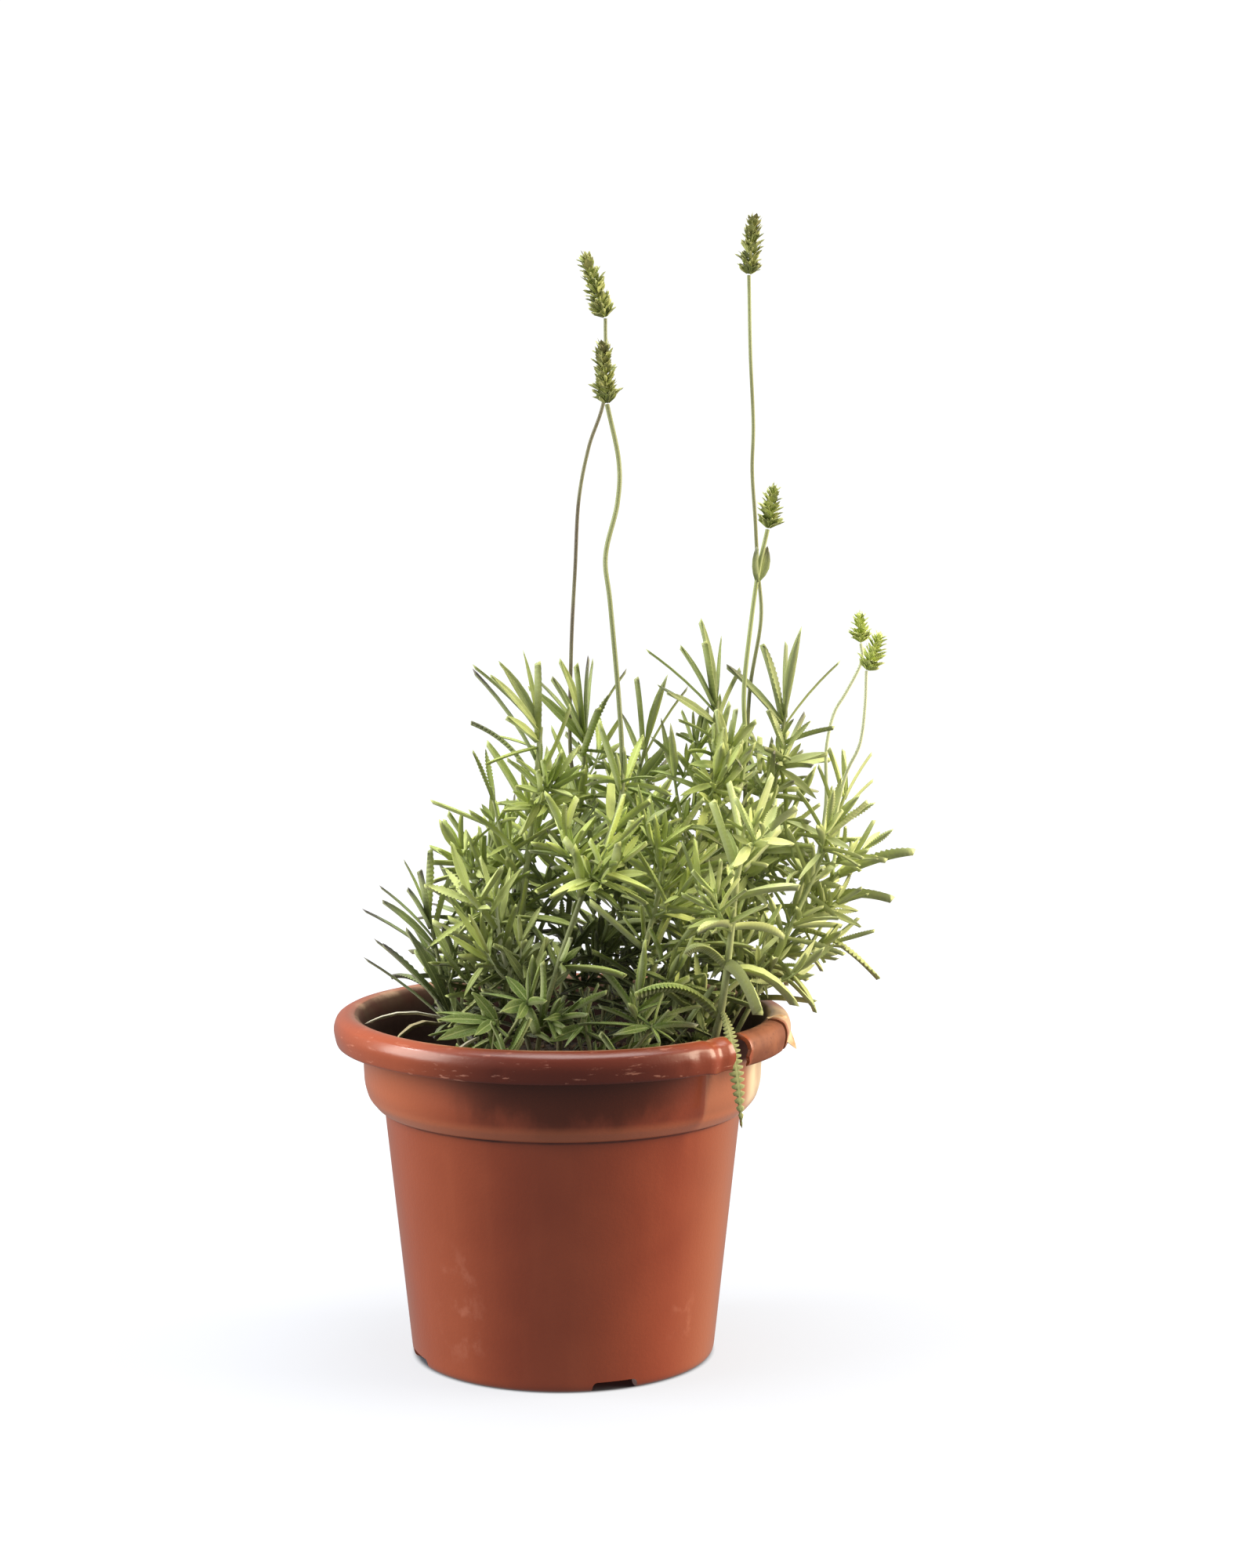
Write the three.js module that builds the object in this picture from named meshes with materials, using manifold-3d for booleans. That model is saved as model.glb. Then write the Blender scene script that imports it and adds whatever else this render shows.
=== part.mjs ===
// A fringed lavender growing in a worn terracotta-brown plastic nursery pot.
// Millimetres, +Z up, origin on the pot's axis where its base pad meets the table, -Y is the front.
import * as THREE from "three";
import { mergeVertices } from "three/addons/utils/BufferGeometryUtils.js";
import Module from "manifold-3d";

const wasm = await Module();
wasm.setup();

// ---- driving dimensions: the pot ----
const POT_HEIGHT = 152;
const RIM_RADIUS = 100;
const WALL = 1.7;
const POT_SIDES = 36;
const FLOOR_UNDERSIDE = 4.2;
const FLOOR_TOP = 6.4;
const RIM_DROP = 13.5;
const STEP_HEIGHT = 111;
const PAD_RADIUS = 14;
const BODY_TOP_RADIUS = 78;
const FOOT_NOTCH = {
  count: 4, firstDegrees: 20.5, width: 20, height: 4.2, innerRadius: 57, outerRadius: 70,
};
const DRAIN = { count: 8, ringRadius: 40, radius: 5, sides: 8 };
// Two breaks in the rolled rim, each given by its angle to the right of the front and its width.
const RIM_BREAKS = [
  { degrees: 50.3, width: 10, innerRadius: 83, bottom: 137.5 },
  { degrees: 75.7, width: 4.5, innerRadius: 91, bottom: 137 },
];
const CUT_PAST = 5;

// ---- driving dimensions: the soil ----
const SOIL_TOP = 122;
const SOIL_RADIUS = 82.6;
const SOIL_SIDES = 24;
const SOIL_RINGS = 3;
const SOIL_RIPPLE = { height: 1.1, sink: 1.6, edgeSink: 1.2 };
const SEAT_GAP = 0.3;

// ---- driving dimensions: the plant ----
const STEM_FOOT = 104;
const STEM_SIDES = 4;
const STEM_STEPS = 1.25;
const LEAF_KEEL = 1.2;
const SMOOTH_STATIONS = 3;
const TOOTHED_STATIONS = 7;
const TOOTH_DEPTH = 0.36;
const ROOT_OFFSET = 0.45;
const SAMPLE_STEP = 3.5;
const NEIGHBOUR_GAP = 0.35;
const SAME_SHOOT_GAP = 1;
const ROOT_SHARE = 0.2;
const AIMS = 7;
const AIM_TURN = 0.5;
// How a leaf is aimed, from the lowest pair of a stem to the one at its tip: in degrees and shares of length.
const GROWTH = {
  turn: 22,
  open: { low: 74, top: 20, spread: 12, power: 1.3 },
  length: { top: 0.78, least: 0.82, most: 1.12 },
  bend: { low: 0.2, top: -0.04, least: -0.1, most: 0.14, flattest: 0.02 },
  width: { least: 0.85, most: 1.15 },
  roll: 0.35,
};
// A flower head of this length has these radii; smaller heads have the same whorls, closer and slimmer.
const HEAD = { length: 28, radius: 3.2, whorls: 6, florets: 5, reach: 2.1, hollow: 0.5, lift: 0.07, foot: 1 };
const BRACT = { length: 15, spread: 4.5, width: 3.6 };
const SPRAY_ARCH = 0.13;

// ---- colours of the finished pieces ----
const TERRACOTTA = new THREE.MeshStandardMaterial({ color: 0x9a4632, roughness: 0.34, metalness: 0 });
const POTTING_SOIL = new THREE.MeshStandardMaterial({ color: 0x2a2018, roughness: 0.95, metalness: 0 });
const LEAF_GREEN = new THREE.MeshStandardMaterial({ color: 0x6f8a45, roughness: 0.6, metalness: 0 });
const BUD_GREEN = new THREE.MeshStandardMaterial({ color: 0x7d8c3e, roughness: 0.75, metalness: 0 });

// ---- small helpers ----
const radians = (degrees) => (degrees * Math.PI) / 180;
const vec = (p) => new THREE.Vector3(p[0], p[1], p[2]);
const blend = (a, b, t) => a + (b - a) * t;

// A repeatable run of numbers from 0 to 1.
function drawsFrom(seed) {
  let state = seed >>> 0;
  const next = () => {
    state = (Math.imul(state, 1664525) + 1013904223) >>> 0;
    return state / 4294967296;
  };
  return { next, between: (low, high) => blend(low, high, next()) };
}

// A closed geometry as a solid that can be joined and cut.
function solidOf(geometry) {
  const bare = geometry.clone();
  bare.deleteAttribute("normal");
  bare.deleteAttribute("uv");
  const merged = mergeVertices(bare, 1e-4);
  const vertProperties = new Float32Array(merged.attributes.position.array);
  const triVerts = new Uint32Array(merged.index.array);
  return new wasm.Manifold(new wasm.Mesh({ numProp: 3, vertProperties, triVerts }));
}

function geometryOf(points, triangles) {
  const geometry = new THREE.BufferGeometry();
  geometry.setAttribute("position", new THREE.Float32BufferAttribute(points.flat(), 3));
  geometry.setIndex(triangles.flat());
  return geometry;
}

function unite(solids) {
  return solids.reduce((whole, piece) => whole.add(piece));
}

// The largest body of a fused solid: loose scraps and sealed hollows fall away.
function largestBody(solid) {
  return solid.decompose().reduce((best, body) => (body.volume() > best.volume() ? body : best));
}

function meshOf(name, solid, material) {
  const cut = solid.getMesh();
  const geometry = new THREE.BufferGeometry();
  geometry.setAttribute("position", new THREE.Float32BufferAttribute(cut.vertProperties, 3));
  geometry.setIndex(new THREE.Uint32BufferAttribute(cut.triVerts, 1));
  geometry.computeVertexNormals();
  const mesh = new THREE.Mesh(geometry, material);
  mesh.name = name;
  return mesh;
}

// A profile of [radius, height] pairs turned round the Z axis.
function turned(profile, sides) {
  const lathe = new THREE.LatheGeometry(profile.map(([r, z]) => new THREE.Vector2(r, z)), sides);
  return lathe.rotateX(Math.PI / 2);
}

// A block that stands across a ring wall, at an angle to the right of the front.
function blockAcross(degrees, width, radiusIn, radiusOut, bottom, top) {
  const block = new THREE.BoxGeometry(width, radiusOut - radiusIn, top - bottom);
  block.translate(0, -(radiusIn + radiusOut) / 2, (bottom + top) / 2);
  return solidOf(block.rotateZ(radians(degrees)));
}

// ---- the pot ----
// Half section of the pot: base pad, drained floor, notched foot, tapered body, step, band and rolled rim.
function potProfile() {
  const crest = POT_HEIGHT;
  const skirt = POT_HEIGHT - RIM_DROP;
  const outside = [
    [PAD_RADIUS - 1, 0], [PAD_RADIUS, FLOOR_UNDERSIDE], [59.6, FLOOR_UNDERSIDE], [60.4, 0],
    [64.8, 0], [66.4, 1.8], [BODY_TOP_RADIUS, STEP_HEIGHT - 0.6], [80, STEP_HEIGHT + 0.4], [83.8, 115.2],
    [85.9, 121.5], [87.4, 140], [89.2, 146.8],
  ];
  const roll = [
    [92.8, 149.9], [96.6, 148.4], [98.1, 145], [97, skirt], [98.6, skirt],
    [RIM_RADIUS, crest - 6.8], [98.6, crest - 2.4], [95.4, crest - 0.4], [92.3, crest], [89.4, crest - 1.2],
  ];
  const inside = [
    [87.2, 147.2], [85.7, 140], [84.2, 122], [82.2, 116.8], [78.4, 113.2],
    [BODY_TOP_RADIUS - WALL, STEP_HEIGHT], [64.9, 8.6], [62.6, FLOOR_TOP], [0, FLOOR_TOP],
  ];
  return [[0, 0], ...outside, ...roll, ...inside];
}

function drainHole(index) {
  const angle = radians((360 / DRAIN.count) * (index + 0.5));
  const hole = new THREE.CylinderGeometry(DRAIN.radius, DRAIN.radius, 2 * FLOOR_TOP, DRAIN.sides);
  hole.rotateX(Math.PI / 2);
  hole.translate(DRAIN.ringRadius * Math.sin(angle), DRAIN.ringRadius * Math.cos(angle), FLOOR_TOP);
  return solidOf(hole);
}

function footNotch(index) {
  const { firstDegrees, count, width, innerRadius, outerRadius, height } = FOOT_NOTCH;
  const degrees = firstDegrees + (360 / count) * index;
  return blockAcross(degrees, width, innerRadius, outerRadius, -CUT_PAST, height);
}

function makePot() {
  const cuts = [];
  for (let i = 0; i < DRAIN.count; i++) cuts.push(drainHole(i));
  for (let i = 0; i < FOOT_NOTCH.count; i++) cuts.push(footNotch(i));
  for (const { degrees, width, innerRadius, bottom } of RIM_BREAKS) {
    cuts.push(blockAcross(degrees, width, innerRadius, RIM_RADIUS + CUT_PAST, bottom, POT_HEIGHT + CUT_PAST));
  }
  const shell = solidOf(turned(potProfile(), POT_SIDES));
  return cuts.reduce((pot, cut) => pot.subtract(cut), shell);
}

// ---- the stems ----
// Each shoot is one node. A stem has a route of points, a radius and the leaves that it bears: pairs of
// leaves from the share of the route given by first, with their length and width. A stem that starts on
// another of its shoot names it in on: [stem, share of that stem's route], before its own points.
const SHOOTS = [
  {
    name: "shoot_left", seed: 11, stems: [
      { route: [[-40, -6, STEM_FOOT], [-42, -8, 128], [-51, -8, 162], [-58, -6, 197]], radius: 1.3,
        pairs: 2, first: 0.42, last: 0.8, length: 39, width: 4, toothed: 0.45 },
    ],
  },
  {
    name: "shoot_left_tall", seed: 23, stems: [
      { route: [[-19, 8, STEM_FOOT], [-21, 6, 132], [-18, 1, 192], [-12, -3, 244], [-9, -5, 276]],
        radius: 1.7, pairs: 5, first: 0.34, last: 0.88, length: 44, width: 4.8, toothed: 0.2 },
      { on: [0, 0.55], route: [[-25, -2, 224], [-31, -4, 250]], radius: 1, pairs: 3, first: 0.3, length: 34,
        width: 3.8, toothed: 0.3 },
      { on: [0, 0.38], route: [[-28, 4, 190], [-34, 4, 214]], radius: 1, pairs: 3, first: 0.3, length: 33,
        width: 3.8, toothed: 0.2 },
    ],
  },
  {
    name: "shoot_left_back", seed: 37, stems: [
      { route: [[-1, 24, STEM_FOOT], [-2, 24, 132], [2, 19, 190], [8, 13, 244], [10, 11, 272]], radius: 1.6,
        pairs: 5, first: 0.4, last: 0.86, length: 44, width: 4.6, toothed: 0.2 },
      { on: [0, 0.76], route: [[3.4, 13, 262], [3.8, 12, 308], [5.6, 11, 344], [7.2, 10, 373],
        [11.6, 10, 396], [18.4, 11, 418], [18.8, 11, 451]], radius: 0.85, head: "flower_head_left_top",
        tip: [9.3, 10, 481] },
    ],
  },
  {
    name: "stem_tall_green", seed: 41, stems: [
      { route: [[-14, -46, STEM_FOOT], [-11, -48, 132], [-6, -50, 162], [8, -46, 205], [24, -36, 242],
        [26, -30, 262], [24.6, -26, 290], [21, -22, 330], [19, -18, 350], [24, -14, 372], [24.6, -12, 390],
        [19.6, -9, 414]], radius: 1.15, pairs: 5, first: 0.13, last: 0.44, length: 36, width: 4.8,
        toothed: 0.4, head: "flower_head_left_low", tip: [17.6, -9, 443] },
    ],
  },
  {
    name: "shoot_middle", seed: 53, stems: [
      { route: [[16, 30, STEM_FOOT], [17, 30, 135], [22, 25, 190], [29, 20, 236], [37, 15, 268]],
        radius: 1.3, pairs: 4, first: 0.5, last: 0.9, length: 36, width: 4.2, toothed: 0.35 },
    ],
  },
  {
    name: "shoot_right_tall", seed: 67, stems: [
      { route: [[42, -2, STEM_FOOT], [46, -2, 132], [56, -2, 190], [64, -2, 246], [67, -1, 287]],
        radius: 1.7, pairs: 6, first: 0.32, last: 0.88, length: 44, width: 4.8, toothed: 0.22 },
      { on: [0, 0.6], route: [[52, -7, 234], [48, -9, 258]], radius: 1, pairs: 3, first: 0.35, length: 33,
        width: 3.8, toothed: 0.2 },
      { on: [0, 0.66], route: [[74, -5, 240], [79, -6, 264], [78.4, -6, 291], [81, -5, 318],
        [84.4, -5, 343], [88.3, -5, 361]], radius: 1.05, bracts: 0.8, head: "flower_head_middle",
        tip: [91.4, -5, 382] },
    ],
  },
  {
    name: "shoot_right_back", seed: 71, stems: [
      { route: [[60, 20, STEM_FOOT], [64, 20, 135], [78, 17, 190], [92, 13, 246], [97, 11, 280]],
        radius: 1.6, pairs: 5, first: 0.36, last: 0.86, length: 43, width: 4.6, toothed: 0.28 },
      { on: [0, 0.62], route: [[80, 11, 236], [80.4, 9, 262], [81.6, 8, 292], [86.2, 7, 322],
        [84.6, 6, 344], [83.4, 5, 365], [82, 5, 386], [82.4, 5, 406], [81, 5, 436], [80.2, 5, 469]],
        radius: 0.85, head: "flower_head_right_top", tip: [82.4, 5, 497] },
    ],
  },
  {
    name: "shoot_right", seed: 83, stems: [
      { route: [[64, -14, STEM_FOOT], [70, -13, 132], [94, -6, 178], [112, 3, 216], [124, 8, 247]],
        radius: 1.4, pairs: 4, first: 0.4, last: 0.86, length: 36, width: 4.2, toothed: 0.3 },
      { on: [0, 0.72], route: [[115, 10, 240], [115.2, 12, 264], [118.4, 13, 280], [124, 13, 290],
        [130.4, 13, 303], [130, 13, 311]], radius: 0.8, head: "flower_head_right_low",
        tip: [129.6, 13, 327] },
      { on: [0, 0.86], route: [[123, 3, 254], [129, 1, 268], [131, 0, 284], [131.4, -1, 300]], radius: 0.8,
        head: "flower_head_right_front", tip: [138.4, -2, 319] },
    ],
  },
  {
    name: "shoot_far_right", seed: 97, stems: [
      { route: [[66, 3, STEM_FOOT], [69, 5, 132], [82, 11, 158], [105, 18, 186], [122, 21, 210]],
        radius: 1.4, pairs: 8, first: 0.36, length: 36, width: 4, toothed: 0.35 },
    ],
  },
  {
    name: "stem_front_right", seed: 101, stems: [
      { route: [[58, -38, STEM_FOOT], [61, -41, 130], [67.5, -46, 158], [71.5, -48, 190], [74, -47, 215],
        [79, -44, 236]], radius: 2, pairs: 4, first: 0.6, length: 36, width: 6.6, toothed: 0.25 },
    ],
  },
  {
    name: "rosette_front_left", seed: 113, stems: [
      { route: [[-30, -44, STEM_FOOT], [-29, -47, 132], [-27, -52, 157]], radius: 1.2, pairs: 2, first: 0.3,
        last: 0.85, length: 23, width: 4.6, toothed: 0.5 },
      { on: [0, 0.62], route: [[-22, -54, 150], [-13, -54, 165]], radius: 1, pairs: 1, first: 0.5,
        length: 22, width: 4.6, toothed: 0.5 },
    ],
  },
  {
    name: "rosette_front_middle", seed: 127, stems: [
      { route: [[18, -56, STEM_FOOT], [15, -57, 132], [10, -57, 158]], radius: 1.2, pairs: 2, first: 0.4,
        last: 0.9, length: 24, width: 4.4, toothed: 0.5 },
      { on: [0, 0.62], route: [[30, -59, 145], [39, -60, 156]], radius: 1, pairs: 1, first: 0.4, length: 23,
        width: 4.4, toothed: 0.4 },
    ],
  },
  {
    name: "shoot_centre", seed: 131, stems: [
      { route: [[27, -24, STEM_FOOT], [28, -25, 130], [33, -27, 170], [41, -27, 205], [45, -25, 228]],
        radius: 1.5, pairs: 8, first: 0.28, length: 37, width: 4.8, toothed: 0.3 },
    ],
  },
  {
    name: "shoot_centre_left", seed: 149, stems: [
      { route: [[-10, -20, STEM_FOOT], [-12, -21, 130], [-20, -25, 162], [-26, -27, 186], [-28, -27, 204]],
        radius: 1.4, pairs: 6, first: 0.32, length: 34, width: 4.6, toothed: 0.35 },
    ],
  },
  {
    name: "shoot_back_left", seed: 151, stems: [
      { route: [[-30, 34, STEM_FOOT], [-32, 36, 130], [-36, 41, 168], [-36, 43, 200], [-32, 43, 222]],
        radius: 1.5, pairs: 6, first: 0.34, length: 38, width: 4.2, toothed: 0.25 },
    ],
  },
  {
    name: "shoot_back_middle", seed: 163, stems: [
      { route: [[20, 54, STEM_FOOT], [21, 56, 130], [24, 60, 172], [27, 60, 210], [30, 57, 236]],
        radius: 1.5, pairs: 6, first: 0.34, length: 38, width: 4.2, toothed: 0.25 },
    ],
  },
  {
    name: "shoot_back_right", seed: 173, stems: [
      { route: [[50, 44, STEM_FOOT], [53, 46, 130], [65, 51, 170], [76, 52, 205], [82, 49, 228]],
        radius: 1.5, pairs: 6, first: 0.34, length: 38, width: 4.2, toothed: 0.25 },
    ],
  },
];

// Leaves that stand out in the plant's outline: from, to, and how far the middle of the blade is bowed.
const FEATURE_LEAVES = [
  // the fringed leaf that hangs over the broken rim
  { shoot: "stem_front_right", from: [68, -46, 160], to: [76, -68, 114], bow: [-2, 16, -34], width: 6.2,
    toothed: true },
  // the arched and the broad toothed leaf over the rim's front right, and the plain one beside them
  { shoot: "stem_front_right", from: [67.2, -46, 158], to: [31, -69, 171], bow: [-6, -8, -30], width: 6.6,
    toothed: true },
  { shoot: "stem_front_right", from: [70.6, -47.6, 181], to: [85, -56, 159.5], bow: [-2, 4, -20], width: 9,
    toothed: true },
  { shoot: "stem_front_right", from: [70.2, -47.4, 178], to: [101, -44, 161], bow: [-4, 6, -26], width: 6.2,
    toothed: false },
  { shoot: "stem_front_right", from: [70.4, -47.4, 180], to: [52, -58, 186], bow: [6, 4, -24], width: 6,
    toothed: true },
  // the toothed leaves at the far right
  { shoot: "shoot_far_right", from: [121.6, 20.8, 209], to: [155, 10, 221], bow: [-4, 2, -8], width: 5.2,
    toothed: true },
  { shoot: "shoot_far_right", from: [114, 19.6, 198], to: [145, 2, 201], bow: [2, 2, -12], width: 5.6,
    toothed: true },
  { shoot: "shoot_far_right", from: [104, 17.6, 185], to: [139, 2, 165], bow: [4, 2, -22], width: 4.6,
    toothed: true },
  // the level toothed leaf at the upper left and the one that lies over the rim's back left
  { shoot: "shoot_left_tall", from: [-11.4, -3.2, 250], to: [-39, -9, 279], bow: [-14, 0, -12], width: 4.8,
    toothed: true },
  { shoot: "shoot_left_tall", from: [-10.6, -3.6, 262], to: [-38, -13, 302], bow: [-8, 0, -3], width: 5,
    toothed: true },
  { shoot: "shoot_left", from: [-47, -8, 150], to: [-78, 32, 161], bow: [4, 2, -28], width: 4.8,
    toothed: true },
  // the dry leaf arching down inside the rim's left
  { shoot: "shoot_left", from: [-45, -8, 142], to: [-74, -24, 139], bow: [4, 2, -36], width: 3.4,
    toothed: false },
];

// Sprays at the tips of the shoots, placed by the photo. Each leaf is [share of the stem where it starts,
// then its tip's x, y and z, its width, how far its face is turned in radians, and true where it's toothed].
const SPRAYS = [
  { shoot: "shoot_left_tall", stem: 0, leaves: [
    [0.99, -38, -15, 304, 3.2, 0.25], [0.985, -30, -21, 300, 4.2, 1.1], [0.995, -27, -9, 305, 4.8, 1.2],
    [0.97, -17, 4, 309, 3, 0.5], [0.96, -9, -11, 305, 5.4, 1.3, true], [0.95, -23, -19, 282, 5, 1],
    [0.93, -33, -16, 261, 3.2, 0.2], [0.92, -30, 2, 272, 3.2, 0.3],
  ] },
  { shoot: "shoot_left_back", stem: 0, leaves: [
    [0.96, -15, 7, 293, 5.2, 1.1], [0.98, -11, 19, 295, 3.2, 0.3], [0.985, -4, -4, 298, 4.4, 1],
    [0.99, -1, 7, 305, 4.8, 1.2], [0.995, 7, -5, 304, 4.6, 1.4], [0.99, 11, 14, 306, 3.6, 0.6],
    [0.985, 13, 25, 304, 3, 0.4], [0.97, 28, 16, 300, 3, 0.2], [0.95, 21, -4, 291, 3.6, 1.2, true],
    [0.9, 17, -10, 285, 5, 1.4, true], [0.93, 34, 3, 261, 3.2, 0.3],
  ] },
  { shoot: "shoot_middle", stem: 0, leaves: [
    [0.97, 33, 8, 297, 4.4, 1.2, true], [0.98, 46, 10, 298, 4, 1.1], [0.94, 55, 20, 292, 3.2, 0.3],
    [0.92, 25, 23, 281, 3.4, 0.5],
  ] },
  { shoot: "shoot_right_tall", stem: 0, leaves: [
    [0.97, 36, -6, 310, 3.4, 0.3], [0.98, 51, -13, 312, 3.6, 0.9], [0.99, 60, -5, 323, 4.6, 1.2],
    [0.985, 62, -15, 314, 5, 1.3, true], [0.99, 69, 6, 315, 3, 0.2], [0.94, 45, -14, 292, 4.6, 1.1],
    [0.9, 50, -10, 280, 3.4, 0.3], [0.93, 41, 2, 294, 3.8, 0.5], [0.95, 77, 8, 301, 3.6, 0.7],
  ] },
  { shoot: "shoot_right_back", stem: 0, leaves: [
    [0.97, 71, -1, 303, 4.6, 1], [0.985, 87, -3, 312, 5.6, 1.4, true], [0.99, 97, 15, 312, 3.4, 1],
    [0.995, 104, 8, 319, 4.6, 1.1], [0.96, 121, 9, 304, 3, 0.2], [0.9, 118, 0, 276, 4.6, 0.4, true],
    [0.92, 100, -8, 280, 3.2, 0.2], [0.86, 99, -4, 262, 3.2, 0.2],
  ] },
  { shoot: "shoot_right", stem: 0, leaves: [
    [0.98, 116, 0, 267, 3.8, 1.1], [0.99, 122, 12, 265, 3.6, 1.2], [0.97, 135, 10, 264, 3.4, 0.5],
    [0.9, 136, 12, 252, 3.6, 0.3], [0.88, 129, -6, 247, 4, 0.8], [0.86, 136, -2, 243, 4.4, 1.2, true],
    [0.9, 111, -3, 260, 4.6, 0.6],
  ] },
  { shoot: "shoot_left", stem: 0, leaves: [
    [0.97, -56, -9, 224, 5.2, 1.2, true], [0.93, -69, 0, 218, 3, 0.3], [0.94, -60, -18, 216, 5, 1.3, true],
    [0.92, -66, -16, 208, 3.6, 0.8], [0.9, -48, -3, 213, 4, 1, true], [0.86, -33, -5, 212, 3.2, 0.3],
    [0.88, -79, -10, 208, 3.4, 0.5], [0.84, -77, -19, 203, 4.6, 0.9], [0.8, -87, -5, 197, 3.2, 0.2],
    [0.6, -82, -5, 184, 3, 0.2], [0.55, -77, -18, 184, 4.2, 0.7, true], [0.5, -86, -12, 177, 3.2, 0.2],
    [0.52, -67, -18, 191, 5.6, 1.3],
  ] },
  { shoot: "rosette_front_left", stem: 0, leaves: [
    [0.99, -52, -57, 161, 4.2, 0.5], [0.98, -51, -63, 159, 5.6, 0.9], [0.96, -55, -61, 152, 3, 0.2],
    [0.97, -51, -67, 151, 6.6, 1], [0.99, -35, -67, 153, 5, 0.8], [0.99, -37, -53, 169, 5.4, 1.2],
    [0.95, -21, -64, 152, 4.6, 0.6],
  ] },
  { shoot: "rosette_front_left", stem: 1, leaves: [
    [0.97, -24, -66, 163, 6.4, 1.2], [0.98, -17, -67, 160, 5.2, 1], [0.99, -5, -63, 167, 5, 0.8],
    [0.95, -8, -59, 152, 7, 1.2], [0.98, -34, -50, 168, 4, 0.3], [0.99, -23, -49, 175, 5, 1],
    [0.99, -6, -50, 186, 4.2, 0.4], [0.985, -13, -55, 180, 4.2, 0.6],
  ] },
  { shoot: "rosette_front_middle", stem: 1, leaves: [
    [0.97, 22, -66, 153, 4, 0.9], [0.96, 7, -61, 157, 3.4, 0.4], [0.98, 27, -56, 163, 3, 0.2],
    [0.99, 43, -58, 170, 3.6, 0.4], [0.98, 42, -72, 151, 3.4, 0.5], [0.99, 58, -63, 157, 4, 0.9],
    [0.97, 48, -69, 151, 3, 0.2],
  ] },
  { shoot: "rosette_front_middle", stem: 0, leaves: [
    [0.96, 2, -68, 148, 3, 0.3], [0.9, 19, -65, 151, 3.4, 0.3], [0.99, 16, -53, 173, 3.8, 0.6],
    [0.94, -5, -60, 149, 6, 1],
  ] },
];

// A uniform Catmull-Rom curve through the points, at share t of its run.
function onRoute(points, t) {
  const last = points.length - 1;
  const at = Math.min(Math.max(t, 0), 1) * last;
  const k = Math.min(Math.floor(at), last - 1);
  const w = at - k;
  const b = points[k];
  const c = points[k + 1];
  const a = k > 0 ? points[k - 1] : b.clone().multiplyScalar(2).sub(c);
  const d = k < last - 1 ? points[k + 2] : c.clone().multiplyScalar(2).sub(b);
  const axis = (name) => {
    const slopeB = (c[name] - a[name]) / 2;
    const slopeC = (d[name] - b[name]) / 2;
    const square = 3 * (c[name] - b[name]) - 2 * slopeB - slopeC;
    const cube = 2 * (b[name] - c[name]) + slopeB + slopeC;
    return b[name] + w * (slopeB + w * (square + w * cube));
  };
  return new THREE.Vector3(axis("x"), axis("y"), axis("z"));
}

function headingOn(points, t) {
  const step = 0.01;
  return onRoute(points, t + step).sub(onRoute(points, t - step)).normalize();
}

// Fills in each stem's points, beginning those that branch inside the stem that bears them.
function routesOf(shoot) {
  const routes = [];
  for (const stem of shoot.stems) {
    const own = stem.route.map(vec);
    routes.push(stem.on ? [onRoute(routes[stem.on[0]], stem.on[1]), ...own] : own);
  }
  return routes;
}

function stemSection(radius) {
  const corners = [];
  for (let i = 0; i < STEM_SIDES; i++) {
    const angle = (2 * Math.PI * i) / STEM_SIDES;
    corners.push(new THREE.Vector2(radius * Math.cos(angle), radius * Math.sin(angle)));
  }
  return new THREE.Shape(corners);
}

function stemSolid(points, radius) {
  const extrudePath = new THREE.CatmullRomCurve3(points, false, "catmullrom", 0.5);
  const steps = Math.round(STEM_STEPS * (points.length - 1));
  return solidOf(new THREE.ExtrudeGeometry(stemSection(radius), { extrudePath, steps }));
}

// ---- the leaves ----
// A leaf's middle line is start + along * s + bow * s * s, for s from 0 at the root to 1 at the tip.
function onLeaf(leaf, s) {
  return leaf.start.clone().addScaledVector(leaf.along, s).addScaledVector(leaf.bow, s * s);
}

function leafSide(leaf) {
  const side = new THREE.Vector3().crossVectors(leaf.along, leaf.bow).normalize();
  const up = new THREE.Vector3().crossVectors(side, leaf.along).normalize();
  return side.multiplyScalar(Math.cos(leaf.roll)).addScaledVector(up, Math.sin(leaf.roll));
}

// Half width at s: narrow at the root, full over the middle and blunt at the tip.
function halfWidth(leaf, s) {
  const root = Math.min(1, 0.3 + 2.1 * s);
  const tip = Math.min(1, 2.4 * (1.08 - s));
  return (leaf.width / 2) * root * tip;
}

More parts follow.
